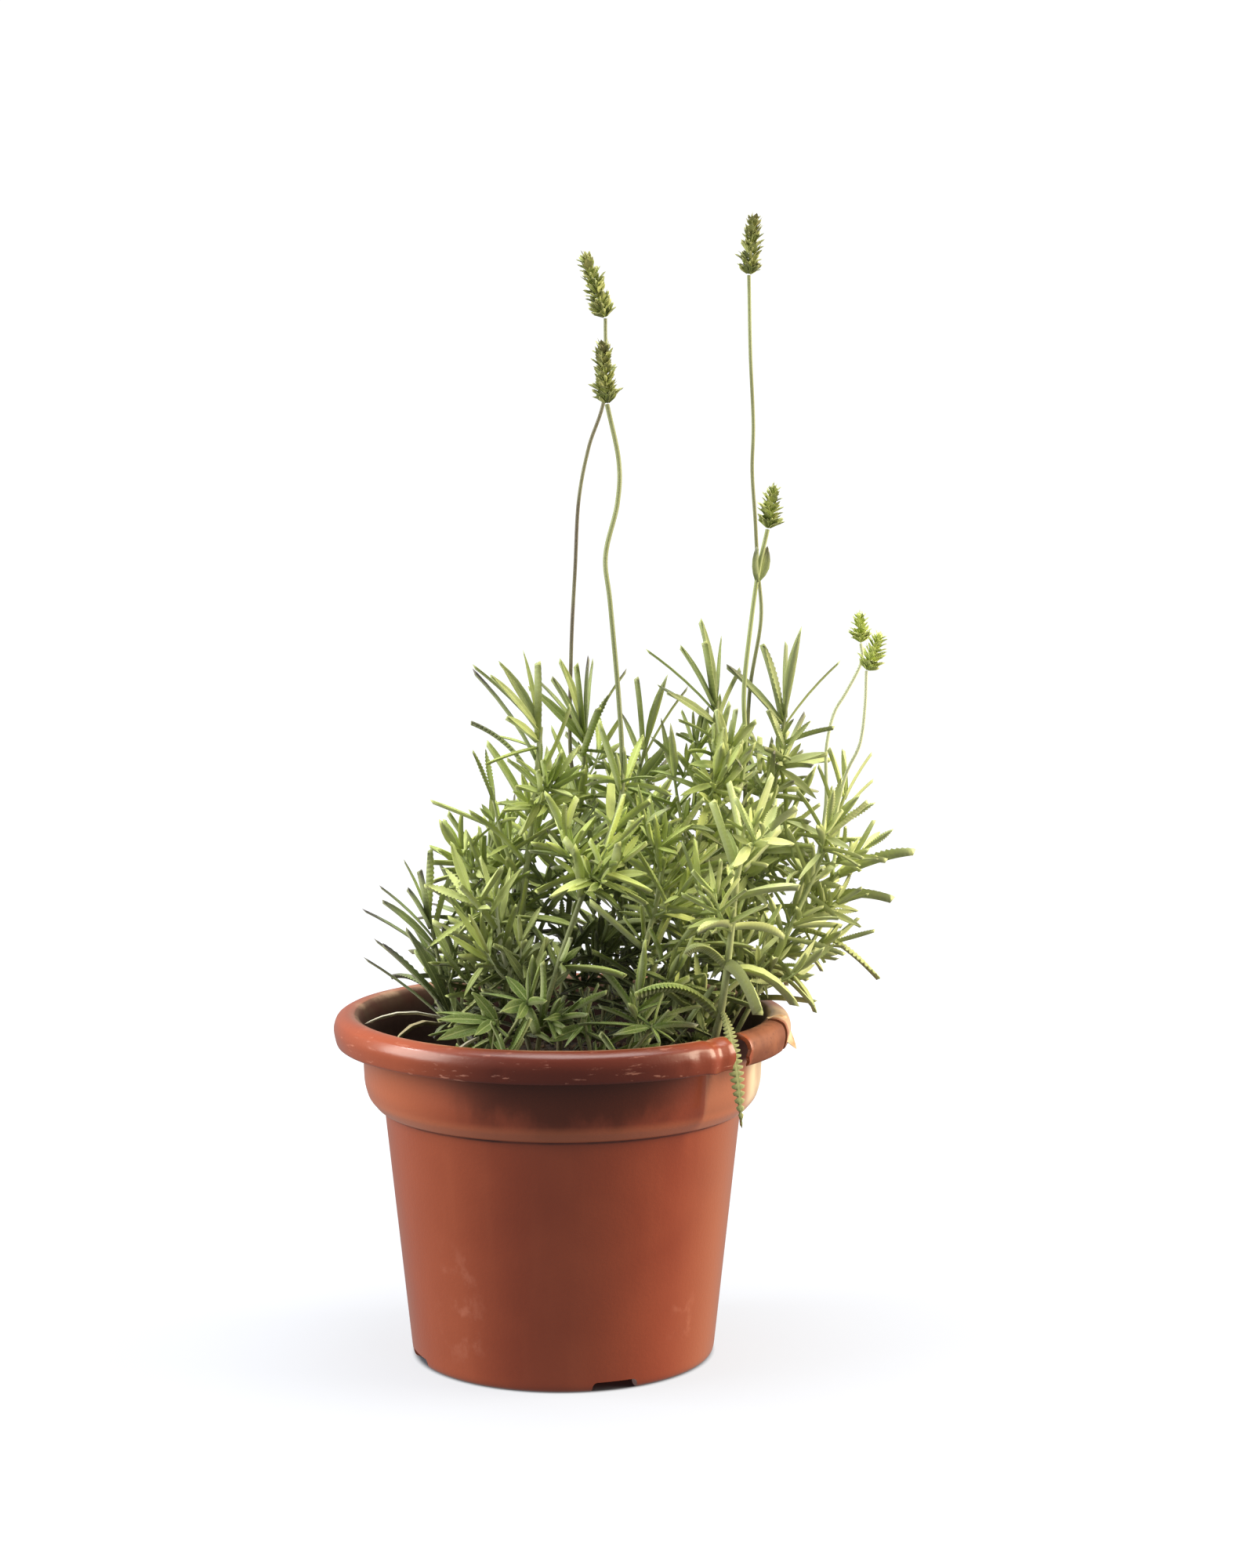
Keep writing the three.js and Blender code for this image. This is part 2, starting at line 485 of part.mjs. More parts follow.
function leafSolid(leaf) {
  const stations = leaf.toothed ? TOOTHED_STATIONS : SMOOTH_STATIONS;
  const side = leafSide(leaf);
  const points = [];
  const triangles = [];
  for (let k = 0; k < stations; k++) {
    const s = k / (stations - (leaf.toothed ? 0 : 0.5));
    const middle = onLeaf(leaf, s);
    const heading = leaf.along.clone().addScaledVector(leaf.bow, 2 * s).normalize();
    const down = new THREE.Vector3().crossVectors(heading, side).normalize();
    const cutIn = leaf.toothed && k % 2 === 0 ? 1 - TOOTH_DEPTH : 1;
    const half = halfWidth(leaf, s) * cutIn;
    const keel = middle.clone().addScaledVector(down, LEAF_KEEL * Math.min(1, 1.25 - s));
    const left = middle.clone().addScaledVector(side, half);
    const right = middle.clone().addScaledVector(side, -half);
    points.push(left.toArray(), right.toArray(), keel.toArray());
  }
  points.push(onLeaf(leaf, 1).toArray());
  triangles.push([0, 1, 2]);
  for (let k = 0; k + 1 < stations; k++) {
    for (let c = 0; c < 3; c++) {
      const here = 3 * k + c;
      const beside = 3 * k + ((c + 1) % 3);
      triangles.push([here, here + 3, beside], [beside, here + 3, beside + 3]);
    }
  }
  const end = 3 * (stations - 1);
  const tip = points.length - 1;
  for (let c = 0; c < 3; c++) triangles.push([end + c, tip, end + ((c + 1) % 3)]);
  const solid = solidOf(geometryOf(points, triangles));
  if (solid.volume() > 0) return solid;
  return solidOf(geometryOf(points, triangles.map(([a, b, c]) => [a, c, b])));
}

// ---- where leaves may grow ----
// Balls along every stem, head and leaf; a new leaf keeps clear of those of the other shoots, and past its
// root it also keeps apart from the leaves of its own shoot.
const taken = [];

function ballsOfStem(points, radius) {
  const balls = [];
  const count = Math.ceil(points.length * 10);
  for (let i = 0; i <= count; i++) balls.push({ at: onRoute(points, i / count), radius: radius + 0.9 });
  return balls;
}

function ballsOfLeaf(leaf) {
  const length = leaf.along.clone().addScaledVector(leaf.bow, 1).length();
  const count = Math.ceil(length / SAMPLE_STEP);
  const balls = [];
  for (let i = 1; i <= count; i++) {
    const s = i / count;
    balls.push({ at: onLeaf(leaf, s), radius: Math.hypot(SAMPLE_STEP / 2, halfWidth(leaf, s)), share: s });
  }
  return balls;
}

function clearOfPot(ball) {
  const { x, y, z } = ball.at;
  const reach = Math.hypot(x, y);
  if (z > POT_HEIGHT + ball.radius + 1) return true;
  if (reach > RIM_RADIUS + ball.radius + 1) return z > 100;
  return reach < SOIL_RADIUS - ball.radius - 1 && z > SOIL_TOP + ball.radius + 1.5;
}

function clearOfPlant(balls, shootName) {
  return balls.every((ball) =>
    taken.every((other) => {
      const own = other.shoot === shootName;
      const nearRoot = ball.share < ROOT_SHARE || !(other.share >= ROOT_SHARE);
      if (own && nearRoot) return true;
      const apart = own
        ? (ball.radius + other.radius) * SAME_SHOOT_GAP
        : ball.radius + other.radius + NEIGHBOUR_GAP;
      return ball.at.distanceToSquared(other.at) > apart * apart;
    }),
  );
}

function take(balls, shoot) {
  for (const ball of balls) taken.push({ ...ball, shoot });
}

// One leaf of a pair, aimed by the draws; rank runs from 0 at the lowest pair to 1 at the shoot's tip.
function aimLeaf(stem, points, t, rank, azimuth, draws) {
  const heading = headingOn(points, t);
  const { turn, open, length, bend, width, roll } = GROWTH;
  const facing = azimuth + radians(draws.between(-turn, turn));
  const out = new THREE.Vector3(Math.cos(facing), Math.sin(facing), 0.15);
  out.addScaledVector(heading, -out.dot(heading)).normalize();
  const opening = blend(open.low, open.top, rank ** open.power);
  const lean = radians(opening + draws.between(-open.spread, open.spread));
  const reach = stem.length * blend(1, length.top, rank) * draws.between(length.least, length.most);
  const arch = blend(bend.low, bend.top, rank) + draws.between(bend.least, bend.most);
  const forward = heading.clone().multiplyScalar(Math.cos(lean)).addScaledVector(out, Math.sin(lean));
  const outward = out.clone().multiplyScalar(Math.cos(lean)).addScaledVector(heading, -Math.sin(lean));
  const bow = outward.multiplyScalar(reach * (Math.abs(arch) < bend.flattest ? bend.flattest : arch));
  const start = onRoute(points, t).addScaledVector(out, ROOT_OFFSET * stem.radius);
  return {
    start,
    along: forward.multiplyScalar(reach),
    bow,
    width: stem.width * draws.between(width.least, width.most),
    roll: draws.between(-roll, roll),
    toothed: draws.next() < stem.toothed,
  };
}

function growPairs(shoot, stem, points, draws) {
  const leaves = [];
  const firstTurn = draws.between(0, Math.PI);
  const end = stem.last ?? 1;
  for (let pair = 0; pair < stem.pairs; pair++) {
    const rank = stem.pairs > 1 ? pair / (stem.pairs - 1) : 1;
    const t = blend(stem.first, end, (pair + 0.6) / stem.pairs) - 0.01;
    for (let half = 0; half < 2; half++) {
      const azimuth = firstTurn + (pair * Math.PI) / 2 + half * Math.PI;
      for (let aim = 0; aim < AIMS; aim++) {
        const leaf = aimLeaf(stem, points, t, rank, azimuth + aim * AIM_TURN * (half ? 1 : -1), draws);
        const balls = ballsOfLeaf(leaf);
        if (!balls.every(clearOfPot) || !clearOfPlant(balls, shoot.name)) continue;
        take(balls, shoot.name);
        leaves.push(leaf);
        break;
      }
    }
  }
  return leaves;
}

// The pair of small leaves on a flower stalk, below its head.
function bractsOn(stem, points) {
  return [-1, 1].map((hand) => {
    const heading = headingOn(points, stem.bracts);
    const along = heading.multiplyScalar(BRACT.length);
    along.add(new THREE.Vector3(hand * BRACT.spread, hand * 2, 0));
    return {
      start: onRoute(points, stem.bracts),
      along,
      bow: new THREE.Vector3(hand * -2, 0.6, 0.5),
      width: BRACT.width,
      roll: 0,
      toothed: false,
    };
  });
}

function featureLeaf(spec) {
  const start = vec(spec.from);
  const bow = vec(spec.bow);
  const along = vec(spec.to).sub(start).sub(bow);
  return { start, along, bow, width: spec.width, roll: 0, toothed: spec.toothed };
}

// A leaf of a spray: it runs from its stem to its tip and arches over a little on the way.
function sprayLeaf(points, [share, x, y, z, width, roll, toothed = false]) {
  const start = onRoute(points, share);
  const line = new THREE.Vector3(x, y, z).sub(start);
  const heading = line.clone().normalize();
  const down = new THREE.Vector3(0, 0, -1).addScaledVector(heading, heading.z).normalize();
  const bow = down.multiplyScalar(SPRAY_ARCH * line.length());
  return { start, along: line.sub(bow), bow, width, roll, toothed };
}

// ---- the flower heads ----
// A dense spike: whorls of pointed green calyces raised from a core, each whorl turned by half a calyx.
function headSolid(foot, tip) {
  const base = vec(foot);
  const axis = vec(tip).sub(base);
  const length = axis.length();
  const scale = (length / HEAD.length) ** 0.6;
  axis.normalize();
  const sideways = new THREE.Vector3(0, 1, 0).cross(axis).normalize();
  const across = new THREE.Vector3().crossVectors(axis, sideways);
  const rows = 2 * HEAD.whorls;
  const columns = 2 * HEAD.florets;
  const points = [];
  const triangles = [];
  const place = (radius, angle, height) => {
    const spoke = sideways.clone().multiplyScalar(radius * Math.cos(angle));
    spoke.addScaledVector(across, radius * Math.sin(angle));
    return spoke.addScaledVector(axis, height).add(base).toArray();
  };
  const rise = 0.93 * (length - HEAD.foot - 1);
  for (let row = 0; row <= rows; row++) {
    const share = row / rows;
    const swell = Math.sqrt(Math.sin(Math.PI * (0.12 + 0.8 * share)));
    for (let column = 0; column < columns; column++) {
      const whorl = Math.floor(row / 2);
      const pointed = row % 2 === 1 && (column + whorl) % 2 === 0;
      const radius = scale * (HEAD.radius * swell + (pointed ? HEAD.reach : -HEAD.hollow));
      const angle = (2 * Math.PI * column) / columns;
      points.push(place(radius, angle, HEAD.foot + rise * (share + (pointed ? HEAD.lift : 0))));
    }
  }
  points.push(place(0, 0, HEAD.foot - SEAT_GAP), place(0, 0, length));
  const foundation = points.length - 2;
  const peak = points.length - 1;
  const cell = (row, column) => row * columns + (column % columns);
  for (let column = 0; column < columns; column++) {
    triangles.push([foundation, cell(0, column + 1), cell(0, column)]);
    triangles.push([peak, cell(rows, column), cell(rows, column + 1)]);
    for (let row = 0; row < rows; row++) {
      const corner = cell(row, column);
      const beside = cell(row, column + 1);
      const above = cell(row + 1, column);
      const over = cell(row + 1, column + 1);
      const leansRight = (row + column + Math.floor(row / 2)) % 2 === 0;
      if (leansRight) triangles.push([corner, beside, over], [corner, over, above]);
      else triangles.push([corner, beside, above], [beside, over, above]);
    }
  }
  return solidOf(geometryOf(points, triangles));
}

// ---- the soil ----
function soilHeight(x, y) {
  const ripple = Math.sin(0.11 * x + 0.4) * Math.cos(0.13 * y - 0.7) + 0.6 * Math.sin(0.23 * (x + y));
  return SOIL_TOP + SOIL_RIPPLE.height * ripple - SOIL_RIPPLE.sink;
}

// The root ball: it fills the pot inside its wall and its top is a slightly uneven surface.
function soilBody() {
  const wall = [[61.8, FLOOR_TOP + 2.4], [BODY_TOP_RADIUS - WALL - 0.7, STEP_HEIGHT - 0.2], [77.4, 113.4]];
  const points = [[0, 0, FLOOR_TOP + SEAT_GAP]];
  const triangles = [];
  const rings = [[60, FLOOR_TOP + SEAT_GAP], ...wall];
  const ringPoint = (radius, column) => {
    const angle = (2 * Math.PI * column) / SOIL_SIDES;
    return [radius * Math.cos(angle), radius * Math.sin(angle)];
  };
  for (const [radius, height] of rings) {
    for (let c = 0; c < SOIL_SIDES; c++) points.push([...ringPoint(radius, c), height]);
  }
  for (let ring = SOIL_RINGS; ring > 0; ring--) {
    for (let c = 0; c < SOIL_SIDES; c++) {
      const [x, y] = ringPoint((SOIL_RADIUS * ring) / SOIL_RINGS, c);
      points.push([x, y, ring === SOIL_RINGS ? SOIL_TOP - SOIL_RIPPLE.edgeSink : soilHeight(x, y)]);
    }
  }
  points.push([0, 0, soilHeight(0, 0)]);
  const count = rings.length + SOIL_RINGS;
  const at = (ring, c) => 1 + ring * SOIL_SIDES + (c % SOIL_SIDES);
  const crown = points.length - 1;
  for (let c = 0; c < SOIL_SIDES; c++) {
    triangles.push([0, at(0, c + 1), at(0, c)], [crown, at(count - 1, c), at(count - 1, c + 1)]);
    for (let ring = 0; ring + 1 < count; ring++) {
      triangles.push([at(ring, c), at(ring, c + 1), at(ring + 1, c + 1)]);
      triangles.push([at(ring, c), at(ring + 1, c + 1), at(ring + 1, c)]);
    }
  }
  return solidOf(geometryOf(points, triangles));
}

// A plain hole for a stem: the same route, a little wider and a little deeper.
function stemHole(points, radius) {
  const below = points[0].clone().add(new THREE.Vector3(0, 0, -SEAT_GAP));
  const cornerGap = SEAT_GAP / Math.cos(Math.PI / STEM_SIDES);
  return stemSolid([below, ...points.slice(1)], radius + cornerGap);
}

// ---- the whole object ----
const routes = new Map(SHOOTS.map((shoot) => [shoot.name, routesOf(shoot)]));
for (const shoot of SHOOTS) {
  shoot.stems.forEach((stem, i) => take(ballsOfStem(routes.get(shoot.name)[i], stem.radius), shoot.name));
  for (const stem of shoot.stems.filter((s) => s.head)) {
    take(ballsOfStem([vec(stem.route.at(-1)), vec(stem.tip)], HEAD.radius + HEAD.reach), stem.head);
  }
}

const leavesOf = new Map(SHOOTS.map((shoot) => [shoot.name, []]));
for (const spec of FEATURE_LEAVES) {
  const leaf = featureLeaf(spec);
  take(ballsOfLeaf(leaf), spec.shoot);
  leavesOf.get(spec.shoot).push(leaf);
}
for (const { shoot, stem, leaves } of SPRAYS) {
  for (const entry of leaves) {
    const leaf = sprayLeaf(routes.get(shoot)[stem], entry);
    take(ballsOfLeaf(leaf), shoot);
    leavesOf.get(shoot).push(leaf);
  }
}
for (const shoot of SHOOTS) {
  const draws = drawsFrom(shoot.seed);
  shoot.stems.forEach((stem, i) => {
    const points = routes.get(shoot.name)[i];
    if (stem.pairs) leavesOf.get(shoot.name).push(...growPairs(shoot, stem, points, draws));
    if (stem.bracts) leavesOf.get(shoot.name).push(...bractsOn(stem, points));
  });
}

function makeShoot(shoot) {
  const stems = shoot.stems.map((stem, i) => stemSolid(routes.get(shoot.name)[i], stem.radius));
  return largestBody(unite([...stems, ...leavesOf.get(shoot.name).map(leafSolid)]));
}

function makeSoil() {
  const holes = SHOOTS.map((shoot) => stemHole(routes.get(shoot.name)[0], shoot.stems[0].radius));
  return holes.reduce((soil, hole) => soil.subtract(hole), soilBody());
}

const lavender = new THREE.Group();
lavender.add(meshOf("pot", makePot(), TERRACOTTA));
lavender.add(meshOf("soil", makeSoil(), POTTING_SOIL));
for (const shoot of SHOOTS) {
  lavender.add(meshOf(shoot.name, makeShoot(shoot), LEAF_GREEN));
  for (const stem of shoot.stems.filter((s) => s.head)) {
    lavender.add(meshOf(stem.head, headSolid(stem.route.at(-1), stem.tip), BUD_GREEN));
  }
}

export default lavender;
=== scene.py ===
import math

import bmesh
import bpy
import numpy as np
from mathutils import Matrix, Vector


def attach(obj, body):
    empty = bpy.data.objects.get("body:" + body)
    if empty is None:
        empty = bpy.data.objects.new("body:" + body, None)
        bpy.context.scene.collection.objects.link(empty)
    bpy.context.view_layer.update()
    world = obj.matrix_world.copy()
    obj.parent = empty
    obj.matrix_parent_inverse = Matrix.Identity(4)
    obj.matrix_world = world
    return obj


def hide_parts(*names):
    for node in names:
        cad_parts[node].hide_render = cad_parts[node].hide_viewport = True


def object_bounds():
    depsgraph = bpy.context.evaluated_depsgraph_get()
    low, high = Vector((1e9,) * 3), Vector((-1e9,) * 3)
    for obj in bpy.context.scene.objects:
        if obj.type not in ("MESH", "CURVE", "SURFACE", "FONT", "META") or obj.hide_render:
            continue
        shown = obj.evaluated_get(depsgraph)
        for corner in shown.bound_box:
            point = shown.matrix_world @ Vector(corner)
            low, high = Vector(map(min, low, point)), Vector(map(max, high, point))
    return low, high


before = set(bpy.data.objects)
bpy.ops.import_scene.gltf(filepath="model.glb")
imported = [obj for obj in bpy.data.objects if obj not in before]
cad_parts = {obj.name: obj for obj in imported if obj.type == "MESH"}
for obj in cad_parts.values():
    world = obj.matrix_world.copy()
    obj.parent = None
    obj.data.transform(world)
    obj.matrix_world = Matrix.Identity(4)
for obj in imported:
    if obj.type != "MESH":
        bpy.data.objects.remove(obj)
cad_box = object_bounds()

MM = 0.001
scene = bpy.context.scene

# ---- driving dimensions: the pot ----
POT_HEIGHT = 152
RIM_RADIUS = 100
WALL = 1.7
FLOOR_UNDERSIDE = 4.2
FLOOR_TOP = 6.4
RIM_DROP = 13.5
STEP_HEIGHT = 111
PAD_RADIUS = 14
BODY_TOP_RADIUS = 78
FOOT_NOTCH = dict(count=4, first=20.5, width=20, height=4.2, inner=57, outer=70)
DRAIN = dict(count=8, ring=40, radius=5)
RIM_BREAKS = [
    dict(degrees=50.3, width=10, inner=83, bottom=137.5, rag=1.1, seed=5),
    dict(degrees=75.7, width=4.5, inner=91, bottom=137, rag=0.6, seed=9),
]
POT_SIDES = 288
CORNER_EASE = 1.3

# ---- driving dimensions: the soil ----
SOIL_TOP = 122
SOIL_RADIUS = 82.6
SOIL_RIPPLE = dict(height=1.1, sink=1.6, edge_sink=1.2)
SEAT_GAP = 0.3

# ---- driving dimensions: the plant ----
STEM_FOOT = 104
ROOT_OFFSET = 0.45
SAMPLE_STEP = 3.5
NEIGHBOUR_GAP = 0.35
ROOT_SHARE = 0.2
AIMS = 7
AIM_TURN = 0.5
GROWTH = dict(
    turn=22, open=(74, 20), spread=12, power=1.3, length=(0.78, 0.82, 1.12), bend=(0.2, -0.04),
    arch=(-0.1, 0.14), flattest=0.02, width=(0.85, 1.15), roll=0.35,
)
HEAD = dict(length=28, radius=3.2, reach=2.1)
BRACT = dict(length=15, spread=4.5, width=3.6)
SPRAY_ARCH = 0.13
GOLDEN_TURN = 2.4  # radians from one leaf or twig to the next round its stem

# ---- the dressed plant's own figures ----
SLIMNESS = (0.7, 1.02)
TWIG_SEED = 5000
DRESSING_SEED = 9000
HEAD_SEED, HEAD_SEED_STEP = 700, 31
TEETH, TOOTH_DEPTH = 30, 0.36
LEAFLETS = 23
KEEL_DEPTH = 0.34
CORE_POINTS = 13
# height and radius of a calyx's rings; height, half width and lobe of a bract's rows
CALYX_RINGS = [(0.0, 0.05), (0.3, 0.1), (0.6, 0.13), (0.8, 0.09)]
BRACT_ROWS = [(0, 0.08, 0), (0.25, 0.24, 0), (0.5, 0.34, 0.08), (0.64, 0.2, 0), (0.84, 0.11, 0)]


def stem(route, radius, **leaves):
    return dict(route=route, radius=radius, **leaves)


# Each shoot: its name, the seed of its draws, how fresh a green it has, and its stems.
SHOOTS = [
    dict(name="shoot_left", seed=11, fresh=0.3, stems=[
        stem([(-40, -6, STEM_FOOT), (-42, -8, 128), (-51, -8, 162), (-58, -6, 197)], 1.3,
             pairs=2, first=0.42, last=0.8, length=39, width=4, toothed=0.45),
    ]),
    dict(name="shoot_left_tall", seed=23, fresh=0.95, stems=[
        stem([(-19, 8, STEM_FOOT), (-21, 6, 132), (-18, 1, 192), (-12, -3, 244), (-9, -5, 276)], 1.7,
             pairs=5, first=0.34, last=0.88, length=44, width=4.8, toothed=0.2),
        stem([(-25, -2, 224), (-31, -4, 250)], 1, on=(0, 0.55),
             pairs=3, first=0.3, length=34, width=3.8, toothed=0.3),
        stem([(-28, 4, 190), (-34, 4, 214)], 1, on=(0, 0.38),
             pairs=3, first=0.3, length=33, width=3.8, toothed=0.2),
    ]),
    dict(name="shoot_left_back", seed=37, fresh=0.45, stems=[
        stem([(-1, 24, STEM_FOOT), (-2, 24, 132), (2, 19, 190), (8, 13, 244), (10, 11, 272)], 1.6,
             pairs=5, first=0.4, last=0.86, length=44, width=4.6, toothed=0.2),
        stem([(3.4, 13, 262), (3.8, 12, 308), (5.6, 11, 344), (7.2, 10, 373), (11.6, 10, 396),
              (18.4, 11, 418), (18.8, 11, 451)], 0.85, on=(0, 0.76), purple=0.8,
             head="flower_head_left_top", tip=(9.3, 10, 481)),
    ]),
    dict(name="stem_tall_green", seed=41, fresh=0.7, stems=[
        stem([(-14, -46, STEM_FOOT), (-11, -48, 132), (-6, -50, 162), (8, -46, 205), (24, -36, 242),
              (26, -30, 262), (24.6, -26, 290), (21, -22, 330), (19, -18, 350), (24, -14, 372),
              (24.6, -12, 390), (19.6, -9, 414)], 1.15, purple=0.25, fresh=0.25,
             pairs=5, first=0.13, last=0.44, length=36, width=4.8, toothed=0.4,
             head="flower_head_left_low", tip=(17.6, -9, 443)),
    ]),
    dict(name="shoot_middle", seed=53, fresh=0.5, stems=[
        stem([(16, 30, STEM_FOOT), (17, 30, 135), (22, 25, 190), (29, 20, 236), (37, 15, 268)], 1.3,
             pairs=4, first=0.5, last=0.9, length=36, width=4.2, toothed=0.35),
    ]),
    dict(name="shoot_right_tall", seed=67, fresh=0.65, stems=[
        stem([(42, -2, STEM_FOOT), (46, -2, 132), (56, -2, 190), (64, -2, 246), (67, -1, 287)], 1.7,
             pairs=6, first=0.32, last=0.88, length=44, width=4.8, toothed=0.22),
        stem([(52, -7, 234), (48, -9, 258)], 1, on=(0, 0.6),
             pairs=3, first=0.35, length=33, width=3.8, toothed=0.2),
        stem([(74, -5, 240), (79, -6, 264), (78.4, -6, 291), (81, -5, 318), (84.4, -5, 343),
              (88.3, -5, 361)], 1.05, on=(0, 0.66), purple=0.1, bracts=0.8,
             head="flower_head_middle", tip=(91.4, -5, 382)),
    ]),
    dict(name="shoot_right_back", seed=71, fresh=0.5, stems=[
        stem([(60, 20, STEM_FOOT), (64, 20, 135), (78, 17, 190), (92, 13, 246), (97, 11, 280)], 1.6,
             pairs=5, first=0.36, last=0.86, length=43, width=4.6, toothed=0.28),
        stem([(80, 11, 236), (80.4, 9, 262), (81.6, 8, 292), (86.2, 7, 322), (84.6, 6, 344),
              (83.4, 5, 365), (82, 5, 386), (82.4, 5, 406), (81, 5, 436), (80.2, 5, 469)], 0.85,
             on=(0, 0.62), purple=0.45, head="flower_head_right_top", tip=(82.4, 5, 497)),
    ]),
    dict(name="shoot_right", seed=83, fresh=0.9, stems=[
        stem([(64, -14, STEM_FOOT), (70, -13, 132), (94, -6, 178), (112, 3, 216), (124, 8, 247)], 1.4,
             pairs=4, first=0.4, last=0.86, length=36, width=4.2, toothed=0.3),
        stem([(115, 10, 240), (115.2, 12, 264), (118.4, 13, 280), (124, 13, 290), (130.4, 13, 303),
              (130, 13, 311)], 0.8, on=(0, 0.72), purple=0, fresh=1.1,
             head="flower_head_right_low", tip=(129.6, 13, 327)),
        stem([(123, 3, 254), (129, 1, 268), (131, 0, 284), (131.4, -1, 300)], 0.8, on=(0, 0.86),
             purple=0, fresh=1.1, head="flower_head_right_front", tip=(138.4, -2, 319)),
    ]),
    dict(name="shoot_far_right", seed=97, fresh=0.8, stems=[
        stem([(66, 3, STEM_FOOT), (69, 5, 132), (82, 11, 158), (105, 18, 186), (122, 21, 210)], 1.4,
             pairs=8, first=0.36, length=36, width=4, toothed=0.35),
    ]),
    dict(name="stem_front_right", seed=101, fresh=0.85, stems=[
        stem([(58, -38, STEM_FOOT), (61, -41, 130), (67.5, -46, 158), (71.5, -48, 190),
              (74, -47, 215), (79, -44, 236)], 2,
             pairs=4, first=0.6, length=36, width=6.6, toothed=0.25),
    ]),
    dict(name="rosette_front_left", seed=113, fresh=0.8, stems=[
        stem([(-30, -44, STEM_FOOT), (-29, -47, 132), (-27, -52, 157)], 1.2,
             pairs=2, first=0.3, last=0.85, length=23, width=4.6, toothed=0.5),
        stem([(-22, -54, 150), (-13, -54, 165)], 1, on=(0, 0.62),
             pairs=1, first=0.5, length=22, width=4.6, toothed=0.5),
    ]),
    dict(name="rosette_front_middle", seed=127, fresh=0.6, stems=[
        stem([(18, -56, STEM_FOOT), (15, -57, 132), (10, -57, 158)], 1.2,
             pairs=2, first=0.4, last=0.9, length=24, width=4.4, toothed=0.5),
        stem([(30, -59, 145), (39, -60, 156)], 1, on=(0, 0.62),
             pairs=1, first=0.4, length=23, width=4.4, toothed=0.4),
    ]),
    dict(name="shoot_centre", seed=131, fresh=0.7, stems=[
        stem([(27, -24, STEM_FOOT), (28, -25, 130), (33, -27, 170), (41, -27, 205), (45, -25, 228)], 1.5,
             pairs=8, first=0.28, length=37, width=4.8, toothed=0.3),
    ]),
    dict(name="shoot_centre_left", seed=149, fresh=1.05, stems=[
        stem([(-10, -20, STEM_FOOT), (-12, -21, 130), (-20, -25, 162), (-26, -27, 186),
              (-28, -27, 204)], 1.4,
             pairs=6, first=0.32, length=34, width=4.6, toothed=0.35),
    ]),
    dict(name="shoot_back_left", seed=151, fresh=0.35, stems=[
        stem([(-30, 34, STEM_FOOT), (-32, 36, 130), (-36, 41, 168), (-36, 43, 200), (-32, 43, 222)], 1.5,
             pairs=6, first=0.34, length=38, width=4.2, toothed=0.25),
    ]),
    dict(name="shoot_back_middle", seed=163, fresh=0.35, stems=[
        stem([(20, 54, STEM_FOOT), (21, 56, 130), (24, 60, 172), (27, 60, 210), (30, 57, 236)], 1.5,
             pairs=6, first=0.34, length=38, width=4.2, toothed=0.25),
    ]),
    dict(name="shoot_back_right", seed=173, fresh=0.4, stems=[
        stem([(50, 44, STEM_FOOT), (53, 46, 130), (65, 51, 170), (76, 52, 205), (82, 49, 228)], 1.5,
             pairs=6, first=0.34, length=38, width=4.2, toothed=0.25),
    ]),
]


def feature(shoot, start, end, bow, width, toothed=True, **look):
    return dict(shoot=shoot, start=start, end=end, bow=bow, width=width, toothed=toothed, **look)


# Leaves that stand out in the plant's outline: from, to, how the blade is bowed and its width. For its looks:
# how fresh or dry it is, its kind of blade, how far its face is turned, and its share of the solid's width.
FEATURE_LEAVES = [
    # the fringed leaf that hangs over the broken rim
    feature("stem_front_right", (68, -46, 160), (76, -68, 114), (-2, 16, -34), 6.4, fresh=0.8, dry=0.5),
    # the arched and the broad toothed leaf over the rim's front right, and the plain one beside them
    feature("stem_front_right", (67.2, -46, 158), (31, -69, 171), (-6, -8, -30), 6.6, fresh=0.75, roll=0.5),
    feature("stem_front_right", (70.6, -47.6, 181), (85, -56, 159.5), (-2, 4, -20), 9, fresh=0.9, blade=2,
            roll=0.9, slim=0.95),
    feature("stem_front_right", (70.2, -47.4, 178), (101, -44, 161), (-4, 6, -26), 6.2, False, fresh=0.8),
    feature("stem_front_right", (70.4, -47.4, 180), (52, -58, 186), (6, 4, -24), 6, fresh=0.4),
    # the toothed leaves at the far right
    feature("shoot_far_right", (121.6, 20.8, 209), (154.6, 10, 221), (-4, 2, -8), 5.2, fresh=0.75, blade=2,
            roll=0.9, slim=1.3),
    feature("shoot_far_right", (114, 19.6, 198), (145, 2, 201), (2, 2, -12), 5.6, fresh=0.9, blade=2,
            roll=0.7, slim=1.15),
    feature("shoot_far_right", (104, 17.6, 185), (139, 2, 165), (4, 2, -22), 4.6, fresh=0.8, slim=0.9),
    # the level toothed leaf at the upper left and the one that lies over the rim's back left
    feature("shoot_left_tall", (-11.4, -3.2, 250), (-39, -9, 279), (-14, 0, -12), 4.8, fresh=0.3, slim=0.72),
    feature("shoot_left_tall", (-10.6, -3.6, 262), (-38, -13, 302), (-8, 0, -3), 5, fresh=0.1, blade=1,
            slim=0.6),
    feature("shoot_left", (-47, -8, 150), (-78, 32, 161), (4, 2, -28), 4.8, fresh=0.2, slim=0.8),
    # the dry leaf arching down inside the rim's left
    feature("shoot_left", (-45, -8, 142), (-74, -24, 139), (4, 2, -36), 3.4, False, fresh=0.2, dry=0.9),
]

